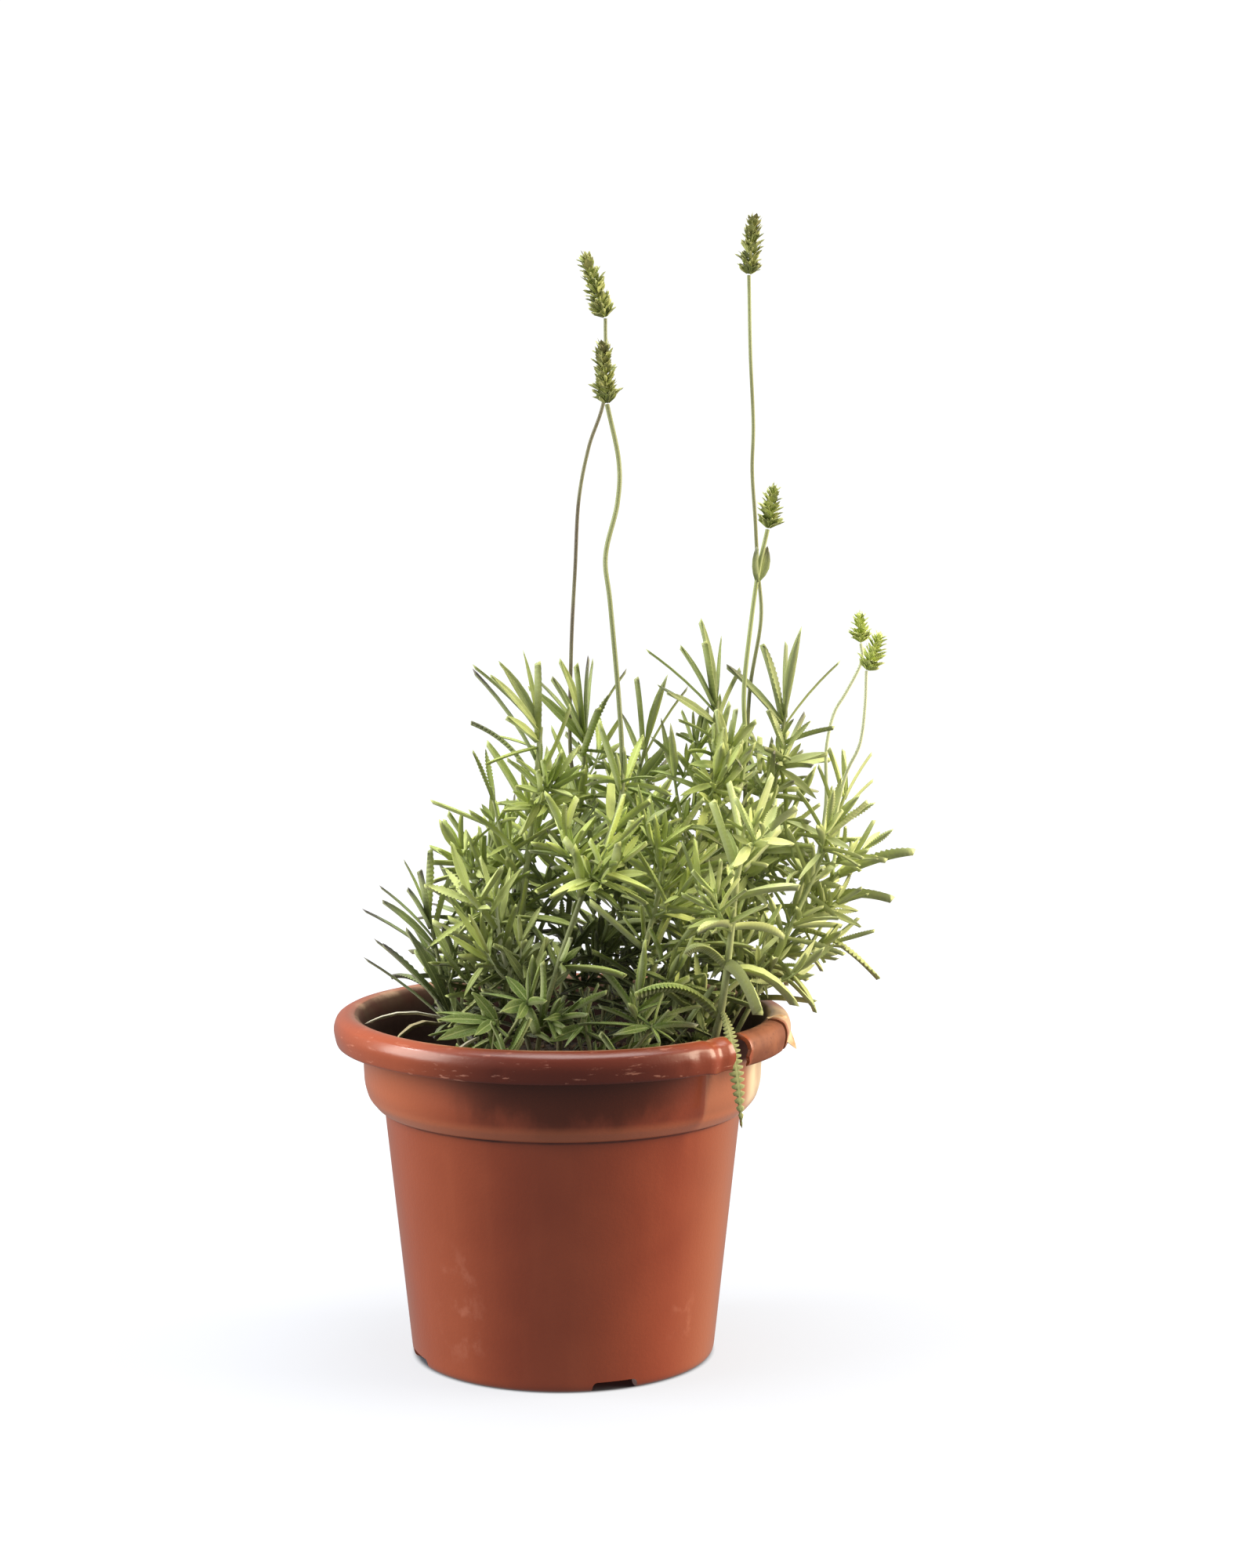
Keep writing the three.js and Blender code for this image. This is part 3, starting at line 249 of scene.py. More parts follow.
# Sprays at the tips of the shoots, placed by the photo. Each leaf is (share of the stem where it starts, then
# its tip's x, y and z, its width, how far its face is turned, and True where it's toothed).
SPRAYS = [
    ("shoot_left_tall", 0, [
        (0.99, -38, -15, 304, 3.2, 0.25), (0.985, -30, -21, 300, 4.2, 1.1),
        (0.995, -27, -9, 305, 4.8, 1.2), (0.97, -17, 4, 309, 3, 0.5), (0.96, -9, -11, 305, 5.4, 1.3, True),
        (0.95, -23, -19, 282, 5, 1), (0.93, -33, -16, 261, 3.2, 0.2), (0.92, -30, 2, 272, 3.2, 0.3),
    ]),
    ("shoot_left_back", 0, [
        (0.96, -15, 7, 293, 5.2, 1.1), (0.98, -11, 19, 295, 3.2, 0.3), (0.985, -4, -4, 298, 4.4, 1),
        (0.99, -1, 7, 305, 4.8, 1.2), (0.995, 7, -5, 304, 4.6, 1.4), (0.99, 11, 14, 306, 3.6, 0.6),
        (0.985, 13, 25, 304, 3, 0.4), (0.97, 28, 16, 300, 3, 0.2), (0.95, 21, -4, 291, 3.6, 1.2, True),
        (0.9, 17, -10, 285, 5, 1.4, True), (0.93, 34, 3, 261, 3.2, 0.3),
    ]),
    ("shoot_middle", 0, [
        (0.97, 33, 8, 297, 4.4, 1.2, True), (0.98, 46, 10, 298, 4, 1.1), (0.94, 55, 20, 292, 3.2, 0.3),
        (0.92, 25, 23, 281, 3.4, 0.5),
    ]),
    ("shoot_right_tall", 0, [
        (0.97, 36, -6, 310, 3.4, 0.3), (0.98, 51, -13, 312, 3.6, 0.9), (0.99, 60, -5, 323, 4.6, 1.2),
        (0.985, 62, -15, 314, 5, 1.3, True), (0.99, 69, 6, 315, 3, 0.2), (0.94, 45, -14, 292, 4.6, 1.1),
        (0.9, 50, -10, 280, 3.4, 0.3), (0.93, 41, 2, 294, 3.8, 0.5), (0.95, 77, 8, 301, 3.6, 0.7),
    ]),
    ("shoot_right_back", 0, [
        (0.97, 71, -1, 303, 4.6, 1), (0.985, 87, -3, 312, 5.6, 1.4, True), (0.99, 97, 15, 312, 3.4, 1),
        (0.995, 104, 8, 319, 4.6, 1.1), (0.96, 121, 9, 304, 3, 0.2), (0.9, 118, 0, 276, 4.6, 0.4, True),
        (0.92, 100, -8, 280, 3.2, 0.2), (0.86, 99, -4, 262, 3.2, 0.2),
    ]),
    ("shoot_right", 0, [
        (0.98, 116, 0, 267, 3.8, 1.1), (0.99, 122, 12, 265, 3.6, 1.2), (0.97, 135, 10, 264, 3.4, 0.5),
        (0.9, 136, 12, 252, 3.6, 0.3), (0.88, 129, -6, 247, 4, 0.8), (0.86, 136, -2, 243, 4.4, 1.2, True),
        (0.9, 111, -3, 260, 4.6, 0.6),
    ]),
    ("shoot_left", 0, [
        (0.97, -56, -9, 224, 5.2, 1.2, True), (0.93, -69, 0, 218, 3, 0.3),
        (0.94, -60, -18, 216, 5, 1.3, True), (0.92, -66, -16, 208, 3.6, 0.8),
        (0.9, -48, -3, 213, 4, 1, True), (0.86, -33, -5, 212, 3.2, 0.3), (0.88, -79, -10, 208, 3.4, 0.5),
        (0.84, -77, -19, 203, 4.6, 0.9), (0.8, -87, -5, 197, 3.2, 0.2), (0.6, -82, -5, 184, 3, 0.2),
        (0.55, -77, -18, 184, 4.2, 0.7, True), (0.5, -86, -12, 177, 3.2, 0.2),
        (0.52, -67, -18, 191, 5.6, 1.3),
    ]),
    ("rosette_front_left", 0, [
        (0.99, -52, -57, 161, 4.2, 0.5), (0.98, -51, -63, 159, 5.6, 0.9), (0.96, -55, -61, 152, 3, 0.2),
        (0.97, -51, -67, 151, 6.6, 1), (0.99, -35, -67, 153, 5, 0.8), (0.99, -37, -53, 169, 5.4, 1.2),
        (0.95, -21, -64, 152, 4.6, 0.6),
    ]),
    ("rosette_front_left", 1, [
        (0.97, -24, -66, 163, 6.4, 1.2), (0.98, -17, -67, 160, 5.2, 1), (0.99, -5, -63, 167, 5, 0.8),
        (0.95, -8, -59, 152, 7, 1.2), (0.98, -34, -50, 168, 4, 0.3), (0.99, -23, -49, 175, 5, 1),
        (0.99, -6, -50, 186, 4.2, 0.4), (0.985, -13, -55, 180, 4.2, 0.6),
    ]),
    ("rosette_front_middle", 1, [
        (0.97, 22, -66, 153, 4, 0.9), (0.96, 7, -61, 157, 3.4, 0.4), (0.98, 27, -56, 163, 3, 0.2),
        (0.99, 43, -58, 170, 3.6, 0.4), (0.98, 42, -72, 151, 3.4, 0.5), (0.99, 58, -63, 157, 4, 0.9),
        (0.97, 48, -69, 151, 3, 0.2),
    ]),
    ("rosette_front_middle", 0, [
        (0.96, 2, -68, 148, 3, 0.3), (0.9, 19, -65, 151, 3.4, 0.3), (0.99, 16, -53, 173, 3.8, 0.6),
        (0.94, -5, -60, 149, 6, 1),
    ]),
]

# Small growth that only the dressed plant has: tufts in the leaf axils and short leafy twigs.
TUFT = dict(share=0.55, length=(3, 7), pairs=2, leaf=(12, 20), width=(2.6, 3.8), girth=0.4)
TWIG = dict(length=(18, 38), pairs=(3, 5), leaf=(19, 32), width=(3.2, 4.8), girth=0.6, lean=(38, 68), tries=6)
TWIGS_ON = dict(
    shoot_left=1, shoot_left_tall=8, shoot_left_back=9, stem_tall_green=3, shoot_middle=10,
    shoot_right_tall=15, shoot_right_back=15, shoot_right=8, shoot_far_right=8, stem_front_right=3,
    rosette_front_left=5, rosette_front_middle=5, shoot_centre=11, shoot_centre_left=10,
    shoot_back_left=11, shoot_back_middle=12, shoot_back_right=11,
)

# Thin withered leaves inside the rim's left, which only the dressed plant has.
WITHERED_LEAVES = [
    feature("shoot_left", (-43, -10, 146), (-84, -30, 151), (2, 2, -24), 2.2, False, fresh=0.2, dry=1.2),
    feature("rosette_front_left", (-34, -54, 150), (-50, -63, 137), (2, 0, -9), 2.4, False,
            fresh=0.2, dry=1.15),
    feature("rosette_front_left", (-28, -57, 139), (-8, -69, 139), (0, -2, -14), 2.2, False,
            fresh=0.2, dry=1.05),
]

# How each head looks: how leafy it is, and how fresh its green.
HEAD_LOOK = dict(
    flower_head_left_top=(0.1, 0.4), flower_head_left_low=(0.5, 0.3), flower_head_middle=(0.95, 0.55),
    flower_head_right_top=(0.25, 0.25), flower_head_right_low=(0.9, 1.05), flower_head_right_front=(1, 0.95),
)


# ---- small helpers ----
def blend(a, b, t):
    return a + (b - a) * t


def unit(vector):
    return vector / np.linalg.norm(vector)


class Draws:
    """A repeatable run of numbers from 0 to 1, the same as in the part's source."""

    def __init__(self, seed):
        self.state = seed

    def next(self):
        self.state = (self.state * 1664525 + 1013904223) % 4294967296
        return self.state / 4294967296

    def between(self, low, high):
        return blend(low, high, self.next())


def on_route(points, t):
    """A uniform Catmull-Rom curve through the points, at share t of its run."""
    last = len(points) - 1
    at = min(max(t, 0), 1) * last
    k = min(int(at), last - 1)
    w = at - k
    b, c = points[k], points[k + 1]
    a = points[k - 1] if k > 0 else 2 * b - c
    d = points[k + 2] if k < last - 1 else 2 * c - b
    slope_b, slope_c = (c - a) / 2, (d - b) / 2
    square = 3 * (c - b) - 2 * slope_b - slope_c
    cube = 2 * (b - c) + slope_b + slope_c
    return b + w * (slope_b + w * (square + w * cube))


def heading_on(points, t):
    return unit(on_route(points, t + 0.01) - on_route(points, t - 0.01))


def routes_of(shoot):
    routes = []
    for each in shoot["stems"]:
        own = [np.array(p, float) for p in each["route"]]
        if "on" in each:
            bearer, share = each["on"]
            own = [on_route(routes[bearer], share), *own]
        routes.append(own)
    return routes


# ---- where leaves may grow ----
def half_width(leaf, s):
    return leaf["width"] / 2 * np.minimum(1, 0.3 + 2.1 * s) * np.minimum(1, 2.4 * (1.08 - s))


def on_leaf(leaf, s):
    s = np.asarray(s)[..., None]
    return leaf["start"] + leaf["along"] * s + leaf["bow"] * s * s


def balls_of_leaf(leaf):
    length = np.linalg.norm(leaf["along"] + leaf["bow"])
    count = math.ceil(length / SAMPLE_STEP)
    share = np.arange(1, count + 1) / count
    return on_leaf(leaf, share), np.hypot(SAMPLE_STEP / 2, half_width(leaf, share)), share


def balls_of_stem(points, radius):
    count = math.ceil(len(points) * 10)
    at = np.array([on_route(points, i / count) for i in range(count + 1)])
    return at, np.full(count + 1, radius + 0.9), np.full(count + 1, np.nan)


def clear_of_pot(at, radius):
    reach = np.hypot(at[:, 0], at[:, 1])
    z = at[:, 2]
    above = z > POT_HEIGHT + radius + 1
    outside = (reach > RIM_RADIUS + radius + 1) & (z > 100)
    within = (reach < SOIL_RADIUS - radius - 1) & (z > SOIL_TOP + radius + 1.5)
    return bool(np.all(above | outside | within))


def inside_frame(at, margin):
    low = np.array(cad_box[0]) / MM + margin
    high = np.array(cad_box[1]) / MM - margin
    return bool(np.all(at > low) and np.all(at < high))


class Clump:
    """Balls along every stem, head and leaf, which a new leaf keeps clear of."""

    def __init__(self):
        self.at, self.radius, self.share = np.zeros((0, 3)), np.zeros(0), np.zeros(0)
        self.shoot = np.zeros(0, int)

    def take(self, balls, shoot):
        at, radius, share = balls
        self.at = np.vstack([self.at, at])
        self.radius = np.concatenate([self.radius, radius])
        self.share = np.concatenate([self.share, share])
        self.shoot = np.concatenate([self.shoot, np.full(len(radius), shoot)])

    def clear(self, balls, shoot, ease):
        at, radius, share = balls
        centre = at.mean(axis=0)
        reach = np.linalg.norm(at - centre, axis=1).max() + 14
        near = np.linalg.norm(self.at - centre, axis=1) < reach
        own = (self.shoot[near] == shoot)[None, :]
        root = (share[:, None] < ROOT_SHARE) | ~(self.share[near] >= ROOT_SHARE)[None, :]
        apart = ease * (radius[:, None] + self.radius[near][None, :] + np.where(own, 0, NEIGHBOUR_GAP))
        gap = np.linalg.norm(at[:, None, :] - self.at[near][None, :, :], axis=2)
        return bool(np.all((own & root) | (gap > apart)))


clump = Clump()


# ---- how leaves grow ----
def aim_leaf(stem, points, t, rank, azimuth, draws):
    heading = heading_on(points, t)
    facing = azimuth + math.radians(draws.between(-GROWTH["turn"], GROWTH["turn"]))
    out = np.array([math.cos(facing), math.sin(facing), 0.15])
    out = unit(out - out.dot(heading) * heading)
    low, top = GROWTH["open"]
    lean = math.radians(blend(low, top, rank ** GROWTH["power"])
                        + draws.between(-GROWTH["spread"], GROWTH["spread"]))
    tip_length, least, most = GROWTH["length"]
    reach = stem["length"] * blend(1, tip_length, rank) * draws.between(least, most)
    arch = blend(*GROWTH["bend"], rank) + draws.between(*GROWTH["arch"])
    forward = heading * math.cos(lean) + out * math.sin(lean)
    outward = out * math.cos(lean) - heading * math.sin(lean)
    bow = outward * (reach * (GROWTH["flattest"] if abs(arch) < GROWTH["flattest"] else arch))
    return dict(
        start=on_route(points, t) + out * (ROOT_OFFSET * stem["radius"]),
        along=forward * reach,
        bow=bow,
        width=stem["width"] * draws.between(*GROWTH["width"]),
        roll=draws.between(-GROWTH["roll"], GROWTH["roll"]),
        toothed=draws.next() < stem["toothed"],
        upper=-outward,
        heading=heading,
        rank=rank,
    )


def grow_pairs(number, stem, points, draws, ease=1.0, aims=AIMS):
    leaves = []
    first_turn = draws.between(0, math.pi)
    pairs = stem["pairs"]
    for pair in range(pairs):
        rank = pair / (pairs - 1) if pairs > 1 else 1
        t = blend(stem["first"], stem.get("last", 1), (pair + 0.6) / pairs) - 0.01
        for half in range(2):
            azimuth = first_turn + pair * math.pi / 2 + half * math.pi
            for aim in range(aims):
                turned = azimuth + aim * AIM_TURN * (1 if half else -1)
                leaf = aim_leaf(stem, points, t, rank, turned, draws)
                balls = balls_of_leaf(leaf)
                if not clear_of_pot(*balls[:2]) or not clump.clear(balls, number, ease):
                    continue
                if ease < 1 and not inside_frame(balls[0], 3):
                    continue
                clump.take(balls, number)
                leaves.append(leaf)
                break
    return leaves


def bracts_on(stem, points):
    bracts = []
    for hand in (-1, 1):
        aside = np.array([hand * BRACT["spread"], hand * 2, 0])
        bow = np.array([hand * -2, 0.6, 0.5])
        bracts.append(dict(
            start=on_route(points, stem["bracts"]), bow=bow, upper=-bow, roll=1.1, toothed=False,
            along=heading_on(points, stem["bracts"]) * BRACT["length"] + aside, rank=1, fresh=0.3,
            width=BRACT["width"] * (1.8 if hand > 0 else 1.1),
        ))
    return bracts


def feature_leaf(spec):
    start, bow = np.array(spec["start"], float), np.array(spec["bow"], float)
    along = np.array(spec["end"], float) - start - bow
    cut = dict(blade=3 if spec["toothed"] else 1, slim=1.04, roll=0)
    return {**cut, **spec, "start": start, "bow": bow, "along": along, "upper": -bow, "rank": 0.5}


def spray_leaf(points, share, x, y, z, width, roll, toothed=False):
    """A leaf of a spray: it runs from its stem to its tip and arches over a little on the way."""
    start = on_route(points, share)
    line = np.array([x, y, z], float) - start
    heading = unit(line)
    down = unit(np.array([0, 0, -1.0]) + heading * heading[2])
    bow = down * SPRAY_ARCH * np.linalg.norm(line)
    return dict(
        start=start, along=line - bow, bow=bow, width=width, roll=roll, toothed=toothed, upper=-bow, rank=1,
    )


def twig_route(points, share, azimuth, length, lean):
    """Three points of a twig that leaves its stem at an angle and arches up."""
    heading = heading_on(points, share)
    out = np.array([math.cos(azimuth), math.sin(azimuth), 0.1])
    out = unit(out - out.dot(heading) * heading)
    start = on_route(points, share)
    aside = heading * math.cos(lean) + out * math.sin(lean)
    middle = start + aside * length * 0.5
    return [start, middle, middle + unit(aside + 0.7 * heading) * length * 0.5]


def add_twigs(number, shoot, routes, draws):
    """Short leafy twigs, longest low down, spread round the shoot's leafy stems."""
    grown = []
    leafy = [i for i, each in enumerate(shoot["stems"]) if each.get("pairs")]
    for k in range(TWIGS_ON[shoot["name"]]):
        bearer = leafy[0] if draws.next() < 0.75 else leafy[-1]
        own = shoot["stems"][bearer]
        points = routes[bearer]
        rank = draws.next()
        share = blend(max(0.14, own["first"] - 0.16), own.get("last", 1) * 0.94, rank)
        for _ in range(TWIG["tries"]):
            length = blend(TWIG["length"][1], TWIG["length"][0], rank) * draws.between(0.8, 1.15)
            lean = math.radians(draws.between(*TWIG["lean"]))
            route = twig_route(points, share, k * GOLDEN_TURN + draws.between(-0.9, 0.9), length, lean)
            samples = np.array([on_route(route, i / 6) for i in range(2, 7)])
            if clear_of_pot(samples, np.full(5, 2.5)) and inside_frame(samples, 12):
                break
        else:
            continue
        twig = dict(
            radius=TWIG["girth"], pairs=round(draws.between(*TWIG["pairs"])), first=0.12,
            length=draws.between(*TWIG["leaf"]), width=draws.between(*TWIG["width"]),
            toothed=own["toothed"],
        )
        clump.take(balls_of_stem(route, twig["radius"]), number)
        grown.append((route, twig, grow_pairs(number, twig, route, draws, ease=0.5, aims=3)))
    return grown


def add_tufts(number, leaves, draws):
    """A tuft of small leaves in the axil of most leaves."""
    grown = []
    for leaf in leaves:
        if "heading" not in leaf or draws.next() > TUFT["share"]:
            continue
        away = unit(leaf["heading"] * 1.1 + unit(leaf["along"]))
        length = draws.between(*TUFT["length"])
        route = [leaf["start"], leaf["start"] + away * length * 0.6, leaf["start"] + away * length]
        tuft = dict(
            radius=TUFT["girth"], pairs=TUFT["pairs"], first=0.2, length=draws.between(*TUFT["leaf"]),
            width=draws.between(*TUFT["width"]), toothed=0.1,
        )
        grown.append((route, tuft, grow_pairs(number, tuft, route, draws, ease=0.35, aims=2)))
    return grown


def plan_plant():
    """Every shoot's stems and leaves: those of the solids first, then the small growth."""
    routes = {}
    for number, shoot in enumerate(SHOOTS):
        routes[number] = routes_of(shoot)
        for each, points in zip(shoot["stems"], routes[number]):
            clump.take(balls_of_stem(points, each["radius"]), number)
        for each in shoot["stems"]:
            if "head" in each:
                axis = [np.array(each["route"][-1], float), np.array(each["tip"], float)]
                clump.take(balls_of_stem(axis, HEAD["radius"] + HEAD["reach"]), 100 + number)
    names = [shoot["name"] for shoot in SHOOTS]
    plans = [dict(lines=[], leaves=[]) for _ in SHOOTS]
    for spec in FEATURE_LEAVES:
        leaf = feature_leaf(spec)
        number = names.index(spec["shoot"])
        clump.take(balls_of_leaf(leaf), number)
        plans[number]["leaves"].append(leaf)
    for name, stem_number, spray in SPRAYS:
        number = names.index(name)
        for entry in spray:
            leaf = spray_leaf(routes[number][stem_number], *entry)
            clump.take(balls_of_leaf(leaf), number)
            plans[number]["leaves"].append(leaf)
    for number, shoot in enumerate(SHOOTS):
        draws = Draws(shoot["seed"])
        for each, points in zip(shoot["stems"], routes[number]):
            plans[number]["lines"].append((points, each))
            if each.get("pairs"):
                plans[number]["leaves"] += grow_pairs(number, each, points, draws)
            if each.get("bracts"):
                plans[number]["leaves"] += bracts_on(each, points)
    for number, shoot in enumerate(SHOOTS):
        draws = Draws(shoot["seed"] + TWIG_SEED)
        grown = add_twigs(number, shoot, routes[number], draws)
        bearers = plans[number]["leaves"] + [leaf for _, _, leaves in grown for leaf in leaves[:4]]
        grown += add_tufts(number, bearers, draws)
        for route, twig, leaves in grown:
            plans[number]["lines"].append((route, twig))
            plans[number]["leaves"] += leaves
    for spec in WITHERED_LEAVES:
        plans[names.index(spec["shoot"])]["leaves"].append(feature_leaf(spec))
    return plans


# ---- node trees ----
class Field:
    """What a node puts out; + - * between it and fields or numbers make the math nodes."""

    def __init__(self, socket):
        self.socket = socket
        self.tree = socket.id_data

    def __add__(self, other):
        return maths("ADD", self, other)

    def __sub__(self, other):
        return maths("SUBTRACT", self, other)

    def __mul__(self, other):
        return maths("MULTIPLY", self, other)

    def __abs__(self):
        return maths("ABSOLUTE", self)


def feed(entry, value):
    """Gives a socket a field, or a plain value of its own."""
    if isinstance(value, Field):
        value.tree.links.new(value.socket, entry)
    else:
        entry.default_value = value


def put(tree, kind, feeds=None, **settings):
    """Adds a node, with its settings and what feeds its sockets."""
    node = tree.nodes.new(kind)
    for name, value in settings.items():
        setattr(node, name, value)
    for entry, value in (feeds or {}).items():
        feed(node.inputs[entry], value)
    return node


def made(tree, kind, feeds=None, output=0, **settings):
    """Adds a node and gives what it puts out."""
    return Field(put(tree, kind, feeds, **settings).outputs[output])


def maths(operation, *terms):
    tree = next(term.tree for term in terms if isinstance(term, Field))
    return made(tree, "ShaderNodeMath", dict(enumerate(terms)), operation=operation)


def largest(first, *others):
    for other in others:
        first = maths("MAXIMUM", first, other)
    return first


def vectors(operation, a, b=(0, 0, 0)):
    return made(a.tree, "ShaderNodeVectorMath", {0: a, 1: b}, operation=operation)


def shifted(spot, way, amount):
    """The spot, moved some way along a vector."""
    step = made(way.tree, "ShaderNodeVectorMath", {0: way, "Scale": amount}, operation="SCALE")
    return vectors("ADD", spot, step)


def split(vector):
    return [Field(socket) for socket in put(vector.tree, "ShaderNodeSeparateXYZ", {0: vector}).outputs]


def evenly(size):
    return made(size.tree, "ShaderNodeCombineXYZ", {0: size, 1: size, 2: size})


def around(angle, radius, height=0.0):
    """The place at an angle round the Z axis, counted from the front."""
    return made(angle.tree, "ShaderNodeCombineXYZ", {
        0: maths("SINE", angle) * radius, 1: maths("COSINE", angle) * -1.0 * radius, 2: height,
    })


def band(value, start, end, low=0.0, high=1.0):
    """Goes from low to high as the value goes from start to end, and stays there."""
    return made(value.tree, "ShaderNodeMapRange", {
        "Value": value, "From Min": start, "From Max": end, "To Min": low, "To Max": high,
    }, interpolation_type="SMOOTHSTEP")


def attribute(tree, name, kind="FLOAT_VECTOR"):
    return made(tree, "GeometryNodeInputNamedAttribute", {"Name": name}, "Attribute", data_type=kind)


def shape_of(entry):
    return made(entry.tree, "GeometryNodeObjectInfo", {"Object": entry}, "Geometry")


def joined(*pieces):
    node = put(pieces[0].tree, "GeometryNodeJoinGeometry")
    for piece in pieces:
        feed(node.inputs[0], piece)
    return Field(node.outputs[0])


def real(pieces):
    return made(pieces.tree, "GeometryNodeRealizeInstances", {"Geometry": pieces})


def coated(piece, finish, **chosen):
    return made(piece.tree, "GeometryNodeSetMaterial", {"Geometry": piece, "Material": finish, **chosen})


def entries_of(tree):
    return {socket.name: Field(socket) for socket in put(tree, "NodeGroupInput").outputs}


def new_growth_tree(name, inputs):
    """A tree that takes a mesh and the named inputs: its sizes, its shapes and its finishes."""
    tree = bpy.data.node_groups.new(name, "GeometryNodeTree")
    for label, kind, value in [("Geometry", "Geometry", None), *inputs]:
        socket = tree.interface.new_socket(label, in_out="INPUT", socket_type="NodeSocket" + kind)
        if value is not None:
            socket.default_value = value
    tree.interface.new_socket("Geometry", in_out="OUTPUT", socket_type="NodeSocketGeometry")
    return tree, entries_of(tree), put(tree, "NodeGroupOutput").inputs[0]


def tubes_and_spots(tree, given, sides):
    """Sweeps the mesh's lines into tubes of their own girth; its lone points are spots for shapes."""
    is_spot = made(tree, "FunctionNodeCompare", {0: attribute(tree, "kind", "FLOAT"), 1: 0.5},
                   operation="GREATER_THAN")
    spots, rest = put(tree, "GeometryNodeSeparateGeometry", {
        "Geometry": given["Geometry"], "Selection": is_spot,
    }, domain="POINT").outputs
    ring = made(tree, "GeometryNodeCurvePrimitiveCircle", {"Resolution": given[sides], "Radius": 1.0})
    tubes = made(tree, "GeometryNodeCurveToMesh", {
        "Curve": made(tree, "GeometryNodeMeshToCurve", {"Mesh": Field(rest)}),
        "Profile Curve": ring,
        "Scale": attribute(tree, "girth", "FLOAT"),
        "Fill Caps": True,
    })
    return tubes, Field(spots), is_spot


def shapes_on(tree, given, spots, labels, **pose):
    """The shape of each kind, placed on the spots of that kind."""
    kind = attribute(tree, "kind", "FLOAT")
    for number, label in enumerate(labels, 1):
        this_kind = made(tree, "FunctionNodeCompare", {0: kind, 1: float(number), "Epsilon": 0.1},
                         operation="EQUAL")
        yield made(tree, "GeometryNodeInstanceOnPoints", {
            "Points": spots, "Selection": this_kind, "Instance": shape_of(given[label]), **pose,
        })


def run_tree(name, mesh, tree, values):
    """Runs a tree on a mesh and gives the result back as one plain mesh object."""
    piece = bpy.data.objects.new(name, mesh)
    modifier = piece.modifiers.new("growth", "NODES")
    modifier.node_group = tree
    for socket in tree.interface.items_tree:
        if socket.in_out == "INPUT" and socket.name in values:
            modifier[socket.identifier] = values[socket.name]
    scene.collection.objects.link(piece)
    bpy.context.view_layer.update()
    graph = bpy.context.evaluated_depsgraph_get()
    plain = bpy.data.meshes.new_from_object(
        piece.evaluated_get(graph), preserve_all_data_layers=True, depsgraph=graph)
    piece.modifiers.clear()
    piece.data = plain
    plain.name = name
    return piece


# ---- meshes ----
def mesh_of(name, points, faces=(), edges=(), **attributes):
    """A mesh with point attributes: an array of triples is a vector, any other a number."""
    mesh = bpy.data.meshes.new(name)
    mesh.from_pydata([tuple(p) for p in points], list(edges), [list(f) for f in faces])
    for label, values in attributes.items():
        values = np.asarray(values, np.float32)
        if values.ndim == 2:
            mesh.attributes.new(label, "FLOAT_VECTOR", "POINT").data.foreach_set("vector", values.ravel())
        else:
            mesh.attributes.new(label, "FLOAT", "POINT").data.foreach_set("value", values)
    mesh.update()
    return mesh


def smooth(mesh):
    mesh.polygons.foreach_set("use_smooth", [True] * len(mesh.polygons))
    return mesh


def outward(mesh):
    work = bmesh.new()
    work.from_mesh(mesh)
    bmesh.ops.recalc_face_normals(work, faces=work.faces)
    work.to_mesh(mesh)
    work.free()
    return mesh


def walls(sides, rows):
    """The quads between rings of points that follow one another."""
    faces = []
    for k in range(rows - 1):
        for c in range(sides):
            here, beside = k * sides + c, k * sides + (c + 1) % sides
            faces.append((here, beside, beside + sides, here + sides))
    return faces


def places_of(mesh):
    """Where a mesh's points are, in millimetres."""
    flat = np.zeros(len(mesh.vertices) * 3, np.float32)
    mesh.vertices.foreach_get("co", flat)
    return flat.reshape(-1, 3) / MM


def move_to(mesh, places):
    mesh.vertices.foreach_set("co", (places * MM).astype(np.float32).ravel())
    mesh.update()


def tool(name, mesh):
    """An unlinked object that a tree takes a shape from; it's removed when the tree has run."""
    return bpy.data.objects.new("shape_" + name, mesh)


def remove(tools):
    for each in tools.values():
        bpy.data.objects.remove(each)


class Seeds:
    """The points that a growth tree starts from, each with its figures; edges join those of a line."""

    def __init__(self, **usual):
        self.usual = usual
        self.points, self.edges = [], []
        self.table = {key: [] for key in usual}

    def add(self, at, on_line=False, **figures):
        if on_line:
            self.edges.append((len(self.points) - 1, len(self.points)))
        self.points.append(at)
        for key, value in {**self.usual, **figures}.items():
            self.table[key].append(value)

    def mesh(self, name):
        return mesh_of(name + "_seed", self.points, edges=self.edges, **self.table)


def dress(piece, slot, *nodes):
    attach(piece, "root")
    if nodes:
        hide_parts(*nodes)
    return piece


# ---- the blades that leaves are cut from ----
# A blade lies along Y from 0 to 1; X runs from -1 to 1 of its half width and Z is its lift, in half widths.
def blade_outline(s, widest):
    """Share of the half width at s: a narrow root, widest at the given share, then drawn to a point."""
    root = 0.28 + 0.72 * math.sin(min(1, s / widest) * math.pi / 2)
    tip = max(0, 1 - (max(0, s - widest) / (1 - widest)) ** 2)
    return root * tip


